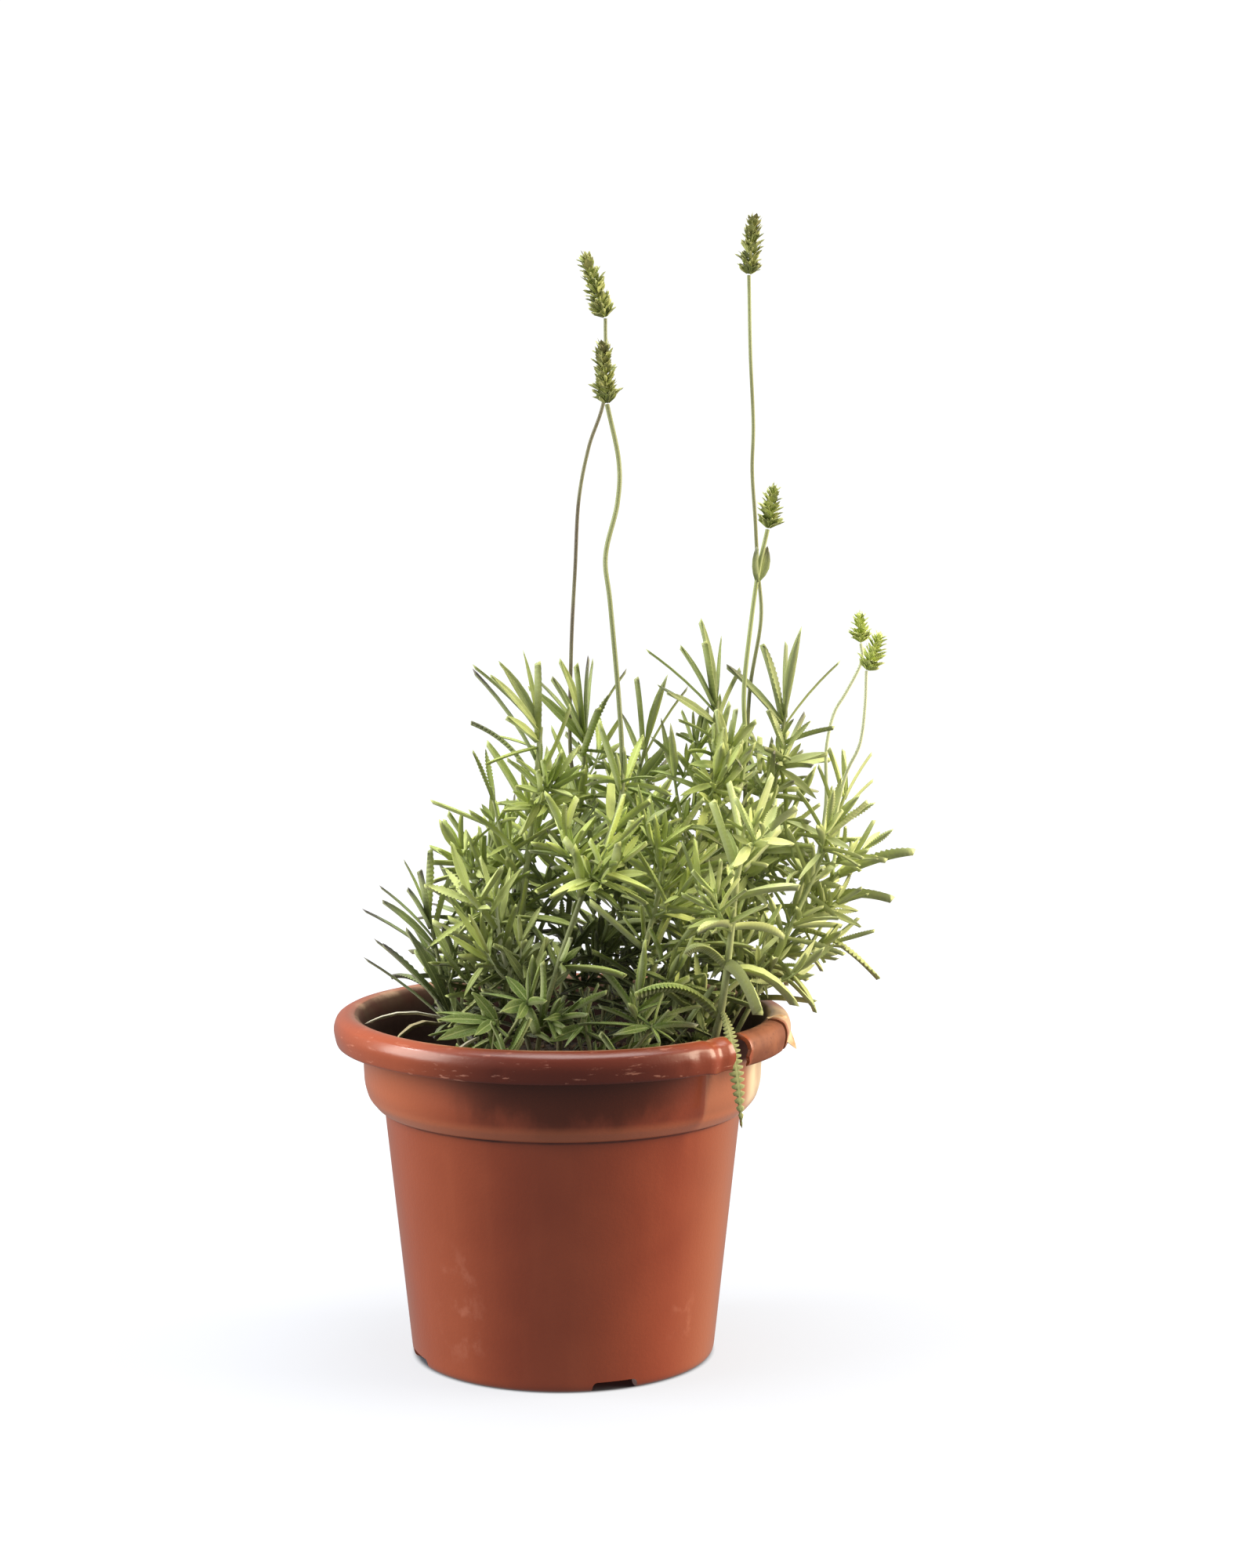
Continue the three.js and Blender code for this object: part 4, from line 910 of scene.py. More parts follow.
def blade_mesh(name, widest, stations, section, notch=lambda k, s: 1.0):
    """A closed blade: a section of (across, lift) pairs on top, one keel line below, and a tip."""
    points, blade = [], []
    ring = len(section) + 1
    for k, s in enumerate(stations):
        wide = blade_outline(s, widest)
        edge = wide * notch(k, s)
        for across, lift in section:
            points.append((across * (edge if abs(across) == 1 else wide), s, lift * wide))
            blade.append((points[-1][0], s, lift))
        points.append((0, s, -KEEL_DEPTH * wide))
        blade.append((0, s, -1))
    faces = walls(ring, len(stations))
    end = (len(stations) - 1) * ring
    points.append((0, 1, -0.05))
    blade.append((0, 1, 0))
    for c in range(ring):
        faces.append((end + c, end + (c + 1) % ring, len(points) - 1))
    faces.append(tuple(reversed(range(ring))))
    mesh = smooth(mesh_of(name, points, faces, blade=blade))
    margins = {0, ring - 2}
    sharp = []
    for edge in mesh.edges:
        a, b = edge.vertices
        sharp.append(max(a, b) < end + ring and a % ring == b % ring and a % ring in margins)
    mesh.attributes.new("sharp_edge", "BOOLEAN", "EDGE").data.foreach_set("value", sharp)
    return mesh


PLAIN_SECTION = [(-1, 0.06), (-0.5, 0.1), (0, -0.16), (0.5, 0.1), (1, 0.06)]
TOOTHED_SECTION = [(-1, 0.1), (0, -0.16), (1, 0.1)]
FRINGED_SECTION = [(-1, -0.1), (-0.2, 0.14), (0, 0.05), (0.2, 0.14), (1, -0.1)]


def tooth(k, s):
    return 1 - TOOTH_DEPTH if k % 2 == 0 and s > 0.04 else 1.0


def fringe(k, s):
    return (0.24, 1.0, 0.9)[k % 3] if s > 0.04 else 0.5


def fringe_station(k):
    """Three stations to a leaflet: its foot, its shoulder and its end, with a gap before the next foot."""
    return (k // 3 + (0.0, 0.34, 0.7)[k % 3]) / LEAFLETS


PLAIN_STATIONS = [0, 0.1, 0.26, 0.46, 0.66, 0.82, 0.94]
TOOTHED_STATIONS = [k / TEETH for k in range(TEETH)]
FRINGED_STATIONS = [fringe_station(k) for k in range(3 * LEAFLETS)]
BLADES = {
    "Plain Blade": blade_mesh("plain_blade", 0.45, PLAIN_STATIONS, PLAIN_SECTION),
    "Toothed Blade": blade_mesh("toothed_blade", 0.55, TOOTHED_STATIONS, TOOTHED_SECTION, tooth),
    "Fringed Blade": blade_mesh("fringed_blade", 0.64, FRINGED_STATIONS, FRINGED_SECTION, fringe),
}


# ---- the tree that grows a shoot ----
# Its mesh holds the stems as lines of points with a girth, and each leaf as a lone point with its figures.
def leafy_shoot_tree():
    tree, given, result = new_growth_tree("leafy_shoot", [
        ("Stem Sides", "Int", 8),
        *[(label, "Object", None) for label in BLADES],
        ("Fullness", "Float", 1.0),
        ("Stem Finish", "Material", None),
        ("Leaf Finish", "Material", None),
    ])
    stems, spots, is_leaf = tubes_and_spots(tree, given, "Stem Sides")
    loose = real(joined(*shapes_on(tree, given, spots, BLADES)))
    x, s, lift = split(attribute(tree, "blade"))
    along, bow = attribute(tree, "along"), attribute(tree, "bow")
    heading = shifted(along, bow, s * 2.0)
    side = made(tree, "ShaderNodeVectorRotate", {
        "Vector": attribute(tree, "side"), "Axis": heading, "Angle": attribute(tree, "twist", "FLOAT") * s,
    }, rotation_type="AXIS_ANGLE")
    up = vectors("NORMALIZE", vectors("CROSS_PRODUCT", side, heading))
    half = attribute(tree, "half_width", "FLOAT")
    place = shifted(attribute(tree, "root"), along, s)
    for way, amount in ((bow, s * s), (side, x * half), (up, lift * half * given["Fullness"])):
        place = shifted(place, way, amount)
    leaves = made(tree, "GeometryNodeSetPosition", {"Geometry": loose, "Position": place})
    whole = coated(real(joined(leaves, stems)), given["Stem Finish"])
    feed(result, coated(whole, given["Leaf Finish"], Selection=is_leaf))
    return tree


def leaf_side(leaf):
    """The leaf's sideways direction after its roll, with its upper face turned the way its plan says."""
    side = unit(np.cross(leaf["along"], leaf["bow"]))
    up = unit(np.cross(side, leaf["along"]))
    side = side * math.cos(leaf["roll"]) + up * math.sin(leaf["roll"])
    return -side if np.dot(np.cross(side, leaf["along"]), leaf["upper"]) < 0 else side


def stem_points(points, own, is_main):
    """Points close together along a stem, with a girth that tapers and swells where leaves sit."""
    run = sum(np.linalg.norm(b - a) for a, b in zip(points, points[1:]))
    count = max(4, math.ceil(run / (3.5 if is_main else 2.5)))
    at = [on_route(points, i / count) for i in range(count + 1)]
    slim = 0.9 if own.get("head") else 0.55
    girth = []
    for i in range(count + 1):
        t = i / count
        swell = 0.0
        if own.get("pairs") and t > own["first"]:
            place = (t - own["first"]) / (own.get("last", 1) - own["first"]) * own["pairs"] - 0.6
            swell = 0.22 * max(0, 1 - 5 * abs(place - round(place))) if place < own["pairs"] else 0
        girth.append(own["radius"] * (blend(1.0, slim, t) + swell))
    return at, girth


def slimness(leaf, draws):
    """How wide a dressed blade is beside the solid's: the sprays' leaves seen edge on are the thinnest."""
    drawn = draws.between(*SLIMNESS)
    if "slim" in leaf or "heading" in leaf:
        return leaf.get("slim", drawn)
    return 0.95 if leaf["roll"] > 0.6 else 0.78 * drawn


def shoot_piece(shoot, plan, tree, values):
    draws = Draws(shoot["seed"] + DRESSING_SEED)
    none = (0, 0, 0)
    seeds = Seeds(
        kind=0, girth=0, along=none, bow=none, side=(1, 0, 0), half_width=0, twist=0, root=none, tone=none,
    )
    for index, (route, own) in enumerate(plan["lines"]):
        is_main = index < len(shoot["stems"])
        at, girth = stem_points(route, own, is_main)
        purple, fresh = own.get("purple", 0.35 if is_main else 0.1), own.get("fresh", shoot["fresh"])
        for k, (place, wide) in enumerate(zip(at, girth)):
            seeds.add(place * MM, k > 0, girth=wide * MM, tone=(purple, fresh, k / (len(at) - 1)))
    for leaf in plan["leaves"]:
        twist = draws.between(-0.5, 0.5) * (1 if "heading" in leaf else 0.4)
        kind = leaf.get("blade", 2 if leaf["toothed"] else 1)
        fresh = leaf.get("fresh", shoot["fresh"] + 0.14 * (leaf["width"] - 4.2) + draws.between(-0.3, 0.3))
        half_width = leaf["width"] / 2 * slimness(leaf, draws)
        seeds.add(
            leaf["start"] * MM, kind=kind, root=leaf["start"] * MM, along=leaf["along"] * MM,
            bow=leaf["bow"] * MM, side=leaf_side(leaf), twist=0 if "blade" in leaf else twist,
            half_width=half_width * MM, tone=(draws.next(), fresh, leaf.get("dry", 0.25 * draws.next() ** 6)),
        )
    piece = run_tree(shoot["name"] + "_fine", seeds.mesh(shoot["name"]), tree, values)
    return dress(piece, "foliage", shoot["name"])


# ---- the flower heads ----
# Every part of a head is one unit long, stands on Z and faces Y; it's told apart by its kind.
def calyx_mesh():
    """A ribbed calyx whose mouth is drawn out to three fine points."""
    points, sides = [], 6
    for height, radius in CALYX_RINGS:
        for c in range(sides):
            angle = c * math.pi / 3
            point = height > 0.8 and c % 2
            reach = radius * (2.6 if point else 1.15 if c % 2 else 0.85)
            points.append((reach * math.cos(angle), reach * math.sin(angle), height + 0.2 * point))
    faces = walls(sides, len(CALYX_RINGS))
    foot = len(points)
    points += [(0, 0, -0.02), (0, 0, 0.95)]
    for c in range(sides):
        faces.append((foot, (c + 1) % sides, c))
        faces.append((foot - sides + c, foot - sides + (c + 1) % sides, foot + 1))
    return smooth(mesh_of("calyx", points, faces, local=points))


def bract_mesh():
    """A cupped bract with a pointed middle and a smaller lobe at each side."""
    points = []
    for s, wide, lobe in BRACT_ROWS:
        cup = 0.22 * s * s
        points += [(-wide, cup, s + lobe), (0, cup - 0.1, s), (wide, cup, s + lobe), (0, cup - 0.03, s)]
    faces = walls(4, len(BRACT_ROWS))
    tip = len(points)
    points.append((0, 0.18, 1.0))
    faces += [(tip - 4 + c, tip - 4 + (c + 1) % 4, tip) for c in range(4)]
    faces.append((3, 2, 1, 0))
    return mesh_of("bract", points, faces, local=points)


def wisp_mesh():
    """A fine three-sided point: the withered tips that stand out of a head."""
    points = []
    for radius, bend, height in ((0.06, 0, 0), (0.05, 0.08, 0.55)):
        points += [(radius * math.cos(a) + bend, radius * math.sin(a), height) for a in (0, 2.1, 4.2)]
    points.append((0, 0, 1))
    faces = walls(3, 2) + [(3 + c, 3 + (c + 1) % 3, 6) for c in range(3)] + [(2, 1, 0)]
    return mesh_of("wisp", points, faces, local=points)


def flower_spike_tree():
    """Makes a head's core a tube and sets a calyx, a bract or a fine point on each spot."""
    parts = ("Calyx", "Bract", "Wisp")
    tree, given, result = new_growth_tree("flower_spike", [
        ("Core Sides", "Int", 10),
        *[(label, "Object", None) for label in parts],
        ("Bud Size", "Float", 1.0),
        ("Bud Finish", "Material", None),
    ])
    core, spots, _ = tubes_and_spots(tree, given, "Core Sides")
    size = attribute(tree, "size", "FLOAT") * given["Bud Size"]
    placed = shapes_on(tree, given, spots, parts, Rotation=attribute(tree, "turn"), Scale=evenly(size))
    feed(result, coated(real(joined(core, *placed)), given["Bud Finish"]))
    return tree


def turn_to(aim, face):
    """Euler angles that lay Z along aim and X across it, with Y looking along face."""
    z = unit(aim)
    x = unit(np.cross(face, z))
    y = np.cross(z, x)
    return tuple(Matrix(np.column_stack([x, y, z]).tolist()).to_euler())


class SpikeHead:
    """A feathery spike: slender calyces, lobed bracts and fine points lean out of a thin core."""

    CALYX, BRACT, WISP = 1, 2, 3

    def __init__(self, own, number):
        self.leafy, self.fresh = HEAD_LOOK[own["head"]]
        self.draws = Draws(HEAD_SEED + HEAD_SEED_STEP * number)
        self.foot, tip = np.array(own["route"][-1], float), np.array(own["tip"], float)
        self.length = np.linalg.norm(tip - self.foot)
        self.axis = (tip - self.foot) / self.length
        self.across = unit(np.cross(np.array([0.0, 1.0, 0.0]), self.axis))
        self.other = np.cross(self.axis, self.across)
        self.scale = (self.length / HEAD["length"]) ** 0.6
        self.seeds = Seeds(kind=0, girth=0, size=0, turn=(0, 0, 0), tone=(0, 0, 0))

    def swell(self, share):
        return min(1, 0.6 + 2.2 * share) * (1 - 0.6 * share ** 1.4)

    def add(self, at, share, more=0.0, on_line=False, **figures):
        tone = (self.draws.next(), share, self.fresh + more + self.draws.between(-0.25, 0.25))
        self.seeds.add(at * MM, on_line, tone=tone, **figures)

    def sprout(self, kind, share, angle, size, lean, depth, more=0.0):
        """A part that leans out of the core at a share of its height, and stays below the head's tip."""
        spoke = self.across * math.cos(angle) + self.other * math.sin(angle)
        rise = 0.6 + (self.length - 4.2) * share
        at = self.foot + self.axis * rise + spoke * self.scale * depth * self.swell(share)
        room = self.draws.between(blend(0.97, 0.45, share), 0.97) * (self.length - rise)
        size = min(size * self.scale, room)
        self.add(at, share, more, kind=kind, size=size * MM, turn=turn_to(self.axis + spoke * lean, spoke))

    def core(self):
        for k in range(CORE_POINTS):
            share = k / (CORE_POINTS - 1)
            at = self.foot + self.axis * self.length * (0.02 + 0.8 * share)
            self.add(at, share, on_line=k > 0, girth=self.scale * 0.95 * self.swell(share) * MM)

    def whorl(self, whorl, whorls):
        draws, share = self.draws, whorl / whorls
        upright = blend(1.0, 0.45, share)
        florets = round(blend(7, 3.5, share) * blend(1, 0.35, self.leafy))
        for c in range(florets):
            angle = 2 * math.pi * (c + 0.5 * (whorl % 2)) / florets + draws.between(-0.4, 0.4)
            at = min(1.0, max(0, share + draws.between(-0.05, 0.05)))
            size = draws.between(4.2, 6.6) * (1 - 0.35 * share)
            self.sprout(self.CALYX, at, angle, size, draws.between(0.7, 1.7) * upright, 1.5)
        bracts = round(blend(3, 6, self.leafy))
        for c in range(bracts):
            angle = whorl * GOLDEN_TURN + c * 2 * math.pi / bracts + draws.between(-0.5, 0.5)
            size = blend(5.4, 8.6 * (1 - 0.45 * share), self.leafy) * draws.between(0.75, 1.15)
            self.sprout(self.BRACT, share, angle, size, draws.between(0.7, 1.4) * upright, 1.4)

    def collar(self):
        """The bracts at the head's foot."""
        for c in range(9):
            size = blend(5.4, 8.8, self.leafy) * self.draws.between(0.8, 1.1)
            self.sprout(self.BRACT, 0.0, c * 0.72 + 0.2, size, self.draws.between(0.55, 0.9), 1.2, 0.3)

    def wisps(self):
        draws = self.draws
        for c in range(round(blend(56, 24, self.fresh))):
            share = draws.between(0.15, 1.0)
            size = draws.between(4.0, 7.0)
            lean = draws.between(0.3, 1.6) * (1.15 - share)
            self.sprout(self.WISP, share, c * GOLDEN_TURN, size, lean, 1.6)


def head_piece(own, number, tree, values):
    head = SpikeHead(own, number)
    head.core()
    whorls = max(5, round(head.length / 2.5))
    for whorl in range(whorls):
        head.whorl(whorl, whorls)
    head.collar()
    head.wisps()
    piece = run_tree(own["head"] + "_fine", head.seeds.mesh(own["head"]), tree, values)
    return dress(piece, "flower_buds", own["head"])


# ---- turned bodies: the pot and the soil ----
def turned_body_tree():
    """Turns a profile round the Z axis, then cuts the drain holes, the foot notches and the rim's breaks."""
    tree, given, result = new_growth_tree("turned_body", [
        ("Sides", "Int", 64),
        ("Profile Points", "Int", 8),
        ("Drain Cutter", "Object", None),
        ("Drain Count", "Int", 8),
        ("Drain Ring", "Float", 0.04),
        ("Notch Cutter", "Object", None),
        ("Notch Count", "Int", 4),
        ("First Notch", "Float", 0.0),
        ("Break Cutter", "Object", None),
        ("Finish", "Material", None),
    ])
    sheet = made(tree, "GeometryNodeMeshGrid", {
        "Size X": 1.0, "Size Y": 1.0,
        "Vertices X": given["Sides"] + 1.0, "Vertices Y": given["Profile Points"],
    })
    here = made(tree, "GeometryNodeInputPosition")
    x, y, _ = split(here)
    row = maths("ROUND", (y + 0.5) * (given["Profile Points"] - 1.0))
    radius, _, height = split(made(tree, "GeometryNodeSampleIndex", {
        "Geometry": given["Geometry"], "Value": here, "Index": row,
    }, data_type="FLOAT_VECTOR"))
    place = around((x + 0.5) * (2 * math.pi), radius, height)
    body = made(tree, "GeometryNodeSetPosition", {"Geometry": sheet, "Position": place})
    body = made(tree, "GeometryNodeMergeByDistance", {"Geometry": body, "Distance": 1e-6})
    cutters = []
    index = made(tree, "GeometryNodeInputIndex")
    for label, count, ring, first in (
        ("Drain Cutter", "Drain Count", given["Drain Ring"], math.pi / DRAIN["count"]),
        ("Notch Cutter", "Notch Count", 0.0, given["First Notch"]),
    ):
        turn = index * maths("DIVIDE", 2 * math.pi, given[count]) + first
        spots = made(tree, "GeometryNodeSetPosition", {
            "Geometry": made(tree, "GeometryNodeMeshLine", {"Count": given[count]}, mode="OFFSET"),
            "Position": around(turn, ring),
        })
        cutters.append(made(tree, "GeometryNodeInstanceOnPoints", {
            "Points": spots, "Instance": shape_of(given[label]),
            "Rotation": made(tree, "ShaderNodeCombineXYZ", {2: turn}),
        }))
    cutters.append(shape_of(given["Break Cutter"]))
    cut = made(tree, "GeometryNodeMeshBoolean", {"Mesh 1": body, "Mesh 2": real(joined(*cutters))},
               operation="DIFFERENCE", solver="EXACT")
    whole = made(tree, "GeometryNodeSetShadeSmooth", {"Geometry": real(cut)})
    feed(result, coated(whole, given["Finish"]))
    return tree


def eased(profile, ease):
    """The profile with each corner turned into a curve of four points; a crisp one gives its own ease."""
    points = [np.array(p[:2], float) for p in profile]
    smooth_line = [points[0]]
    for before, corner, after, own in zip(points, points[1:], points[2:], profile[1:]):
        back, ahead = before - corner, after - corner
        reach = 2.2 * (own[2] if len(own) > 2 else ease)
        a = corner + unit(back) * min(reach, 0.36 * np.linalg.norm(back))
        b = corner + unit(ahead) * min(reach, 0.36 * np.linalg.norm(ahead))
        for t in (0, 1 / 3, 2 / 3, 1):
            smooth_line.append((1 - t) ** 2 * a + 2 * t * (1 - t) * corner + t * t * b)
    return smooth_line + [points[-1]]


def pot_profile():
    crest, skirt = POT_HEIGHT, POT_HEIGHT - RIM_DROP
    outside = [
        (PAD_RADIUS - 1, 0), (PAD_RADIUS, FLOOR_UNDERSIDE), (59.6, FLOOR_UNDERSIDE), (60.4, 0),
        (64.8, 0), (66.4, 1.8), (BODY_TOP_RADIUS, STEP_HEIGHT - 0.7, 0.12), (80.6, STEP_HEIGHT - 0.3, 0.14),
        (81.6, STEP_HEIGHT + 0.5, 0.3), (84.9, 115.4), (86.6, 121.5), (87.4, 140), (89.2, 146.8),
    ]
    roll = [
        (92.8, 149.9), (96.6, 148.4), (98.1, 145), (97, skirt), (98.6, skirt), (RIM_RADIUS, crest - 6.8),
        (98.6, crest - 2.4), (95.4, crest - 0.4), (92.3, crest), (89.4, crest - 1.2),
    ]
    inside = [
        (87.2, 147.2), (85.7, 140), (84.2, 122), (82.2, 116.8), (78.4, 113.2),
        (BODY_TOP_RADIUS - WALL, STEP_HEIGHT), (64.9, 8.6), (62.6, FLOOR_TOP), (0, FLOOR_TOP),
    ]
    return [(0, 0), *outside, *roll, *inside]


def profile_mesh(name, profile):
    points = [(r * MM, 0, z * MM) for r, z in profile]
    return mesh_of(name, points, edges=[(i, i + 1) for i in range(len(points) - 1)])


def prism(name, outline, low, high, axis):
    """A closed prism of an outline, along Z, or along -Y away from the pot's axis."""
    count = len(outline)
    lay = (lambda a, b, c: (a, b, c)) if axis == "Z" else (lambda a, b, c: (a, -c, b))
    points = [lay(a * MM, b * MM, end * MM) for end in (low, high) for a, b in outline]
    faces = [tuple(range(count)), tuple(range(2 * count - 1, count - 1, -1))]
    faces += [(i, i + count, (i + 1) % count + count, (i + 1) % count) for i in range(count)]
    return outward(mesh_of(name, points, faces))


def drain_cutter():
    angles = [k * math.pi / 14 for k in range(28)]
    ring = [(DRAIN["radius"] * math.cos(a), DRAIN["radius"] * math.sin(a)) for a in angles]
    return prism("drain_cutter", ring, 1, 2 * FLOOR_TOP, "Z")


def notch_cutter():
    """A low arch with round corners, cut through the foot."""
    half, top, corner = FOOT_NOTCH["width"] / 2, FOOT_NOTCH["height"], 2.2
    arc = [(half - corner + corner * math.cos(a), top - corner + corner * math.sin(a))
           for a in np.linspace(0, math.pi / 2, 6)]
    outline = [(half + 0.6, -5), *arc, *[(-x, z) for x, z in reversed(arc)], (-half - 0.6, -5)]
    return prism("notch_cutter", outline, FOOT_NOTCH["inner"], FOOT_NOTCH["outer"], "Y")


def break_cutter():
    """The two pieces torn out of the rim, with ragged sides."""
    points, faces = [], []
    for torn in RIM_BREAKS:
        draws = Draws(torn["seed"])
        half, rag = torn["width"] / 2, torn["rag"]
        levels = np.linspace(torn["bottom"], POT_HEIGHT + 4, 8)
        right = [(half + draws.between(-rag, rag), z) for z in levels]
        left = [(-half + draws.between(-rag, rag), z) for z in reversed(levels)]
        mesh = prism("torn", right + left, torn["inner"], RIM_RADIUS + 5, "Y")
        faces += [[len(points) + i for i in f.vertices] for f in mesh.polygons]
        turn = math.radians(torn["degrees"])
        cos, sin = math.cos(turn), math.sin(turn)
        points += [(x * cos - y * sin, x * sin + y * cos, z) for x, y, z in (v.co for v in mesh.vertices)]
    return mesh_of("break_cutter", points, faces)


def bump_at(value, centre, reach):
    """A smooth hump of height 1 over a band of values."""
    share = np.clip(1 - np.abs(value - centre) / reach, 0, 1)
    return share * share * (3 - 2 * share)


# The rim's dents: how far each pushes it, its place and reach in degrees, its height and reach in mm.
RIM_DENTS = [
    (-1.5, 43.2, 2.6), (0.5, 39.6, 1.8), (-0.7, 35.5, 2.4, 146, 5), (-0.5, 31.5, 2, 143, 4),
    (-0.7, -14, 1.6, 142, 3.5),
]
# The torn tongue of the rim, from its root to its point: its upper edge, its lower edge and its thickness.
FLAP_ROWS = [
    ((89.9, -20.0, 151.2), (97.1, -11.0, 151.0), 1.8),
    ((91.9, -21.0, 147.5), (98.8, -12.0, 145.5), 1.7),
    ((94.6, -21.0, 144.4), (100.4, -13.0, 141.5), 1.4),
    ((97.4, -19.0, 141.0), (101.0, -15.0, 139.5), 1.0),
    ((101.2, -17.2, 137.6), (101.5, -16.8, 137.4), 0.3),
]
# The middle of the pot's wall, which parts its inner face from its outer one.
WALL_MIDDLE = dict(
    height=(8, 110, 113, 117, 122, 140, 147, 152),
    radius=(66, 76.6, 79.8, 83.5, 85.4, 86.6, 88.3, 91.5),
)


def wear_pot(mesh):
    """The pot's dents: a knocked rim at the front right, a crease down the band and a wavering crest."""
    place = places_of(mesh)
    x, y, z = place.T
    turn = np.degrees(np.arctan2(x, -y))
    reach = np.hypot(x, y)
    push = np.zeros(len(x))
    sink = np.zeros(len(x))
    rim = np.clip((reach - 88) / 6, 0, 1) * np.clip((z - 136) / 3, 0, 1)
    for depth, centre, width, *low in RIM_DENTS:
        push += rim * depth * bump_at(turn, centre, width) * (bump_at(z, *low) if low else 1)
    sink -= rim * 1.2 * bump_at(turn, 42.2, 3.2)
    middle = np.interp(z, WALL_MIDDLE["height"], WALL_MIDDLE["radius"])
    inside = ((reach < middle) & (z > FLOOR_TOP - 1)).astype(np.float32)
    mesh.attributes.new("inside", "FLOAT", "POINT").data.foreach_set("value", inside)
    edge = np.clip((z - 150) / 2, 0, 1)
    sink -= edge * (0.25 + 0.25 * np.sin(np.radians(5 * turn + 40)) * np.sin(np.radians(2 * turn)))
    crease = bump_at(z, 128, 18) * (reach > 80)
    push -= crease * 0.8 * (np.clip((turn - 44.4) / 0.9, 0, 1) * np.clip((58 - turn) / 12, 0, 1))
    push -= bump_at(z, 60, 52) * 0.35 * (1 + np.sin(np.radians(3 * turn + 70)))
    scale = (reach + push) / np.maximum(reach, 1e-6)
    place[:, 0] *= scale
    place[:, 1] *= scale
    place[:, 2] += sink
    move_to(mesh, place)


def rim_flap(finish):
    """The torn tongue of the rim past the second break, peeled out and down to a point."""
    points = []
    for high, low, thick in FLAP_ROWS:
        inward = [unit(np.array([-x, -y, 30.0])) * thick for x, y, _ in (high, low)]
        points += [high, np.array(high) + inward[0], np.array(low) + inward[1], low]
    end = len(points) - 4
    faces = walls(4, len(FLAP_ROWS)) + [(0, 3, 2, 1), tuple(range(end, end + 4))]
    mesh = smooth(outward(mesh_of("rim_flap", [tuple(c * MM for c in p) for p in points], faces)))
    mesh.set_sharp_from_angle(angle=math.radians(40))
    mesh.materials.append(finish)
    piece = bpy.data.objects.new("rim_flap", mesh)
    scene.collection.objects.link(piece)
    return dress(piece, "pot_plastic")


# ---- the soil ----
def soil_profile():
    bottom = FLOOR_TOP + SEAT_GAP
    below_step = (BODY_TOP_RADIUS - WALL - 0.7, STEP_HEIGHT - 0.2)
    side = [(60, bottom), (61.8, FLOOR_TOP + 2.4), below_step, (77.4, 113.4)]
    top = [(SOIL_RADIUS, SOIL_TOP - SOIL_RIPPLE["edge_sink"])]
    top += [(SOIL_RADIUS * k / 22, SOIL_TOP - SOIL_RIPPLE["sink"]) for k in range(21, -1, -1)]
    return [(0, bottom), *side, *top]


def lay_soil(mesh):
    """Gives the turned body its uneven top."""
    place = places_of(mesh)
    x, y, z = place.T
    top = (z > SOIL_TOP - 3) & (np.hypot(x, y) < SOIL_RADIUS - 1)
    ripple = np.sin(0.11 * x + 0.4) * np.cos(0.13 * y - 0.7) + 0.6 * np.sin(0.23 * (x + y))
    fine = 0.5 * np.sin(0.53 * x + 1.3 * np.sin(0.31 * y)) * np.sin(0.61 * y + 0.8)
    height = SOIL_TOP + SOIL_RIPPLE["height"] * ripple - SOIL_RIPPLE["sink"] + fine
    place[:, 2] = np.where(top, height, z)
    move_to(mesh, place)


def crumb_mesh(name, seed, stretch):
    """A lump of bark or peat with twenty faces."""
    work = bmesh.new()
    bmesh.ops.create_icosphere(work, subdivisions=1, radius=1.0)
    work.verts.index_update()
    draws = Draws(seed)
    points = [tuple(c * s * draws.between(0.7, 1.15) for c, s in zip(v.co, stretch)) for v in work.verts]
    faces = [[v.index for v in f.verts] for f in work.faces]
    work.free()
    return mesh_of(name, points, faces)


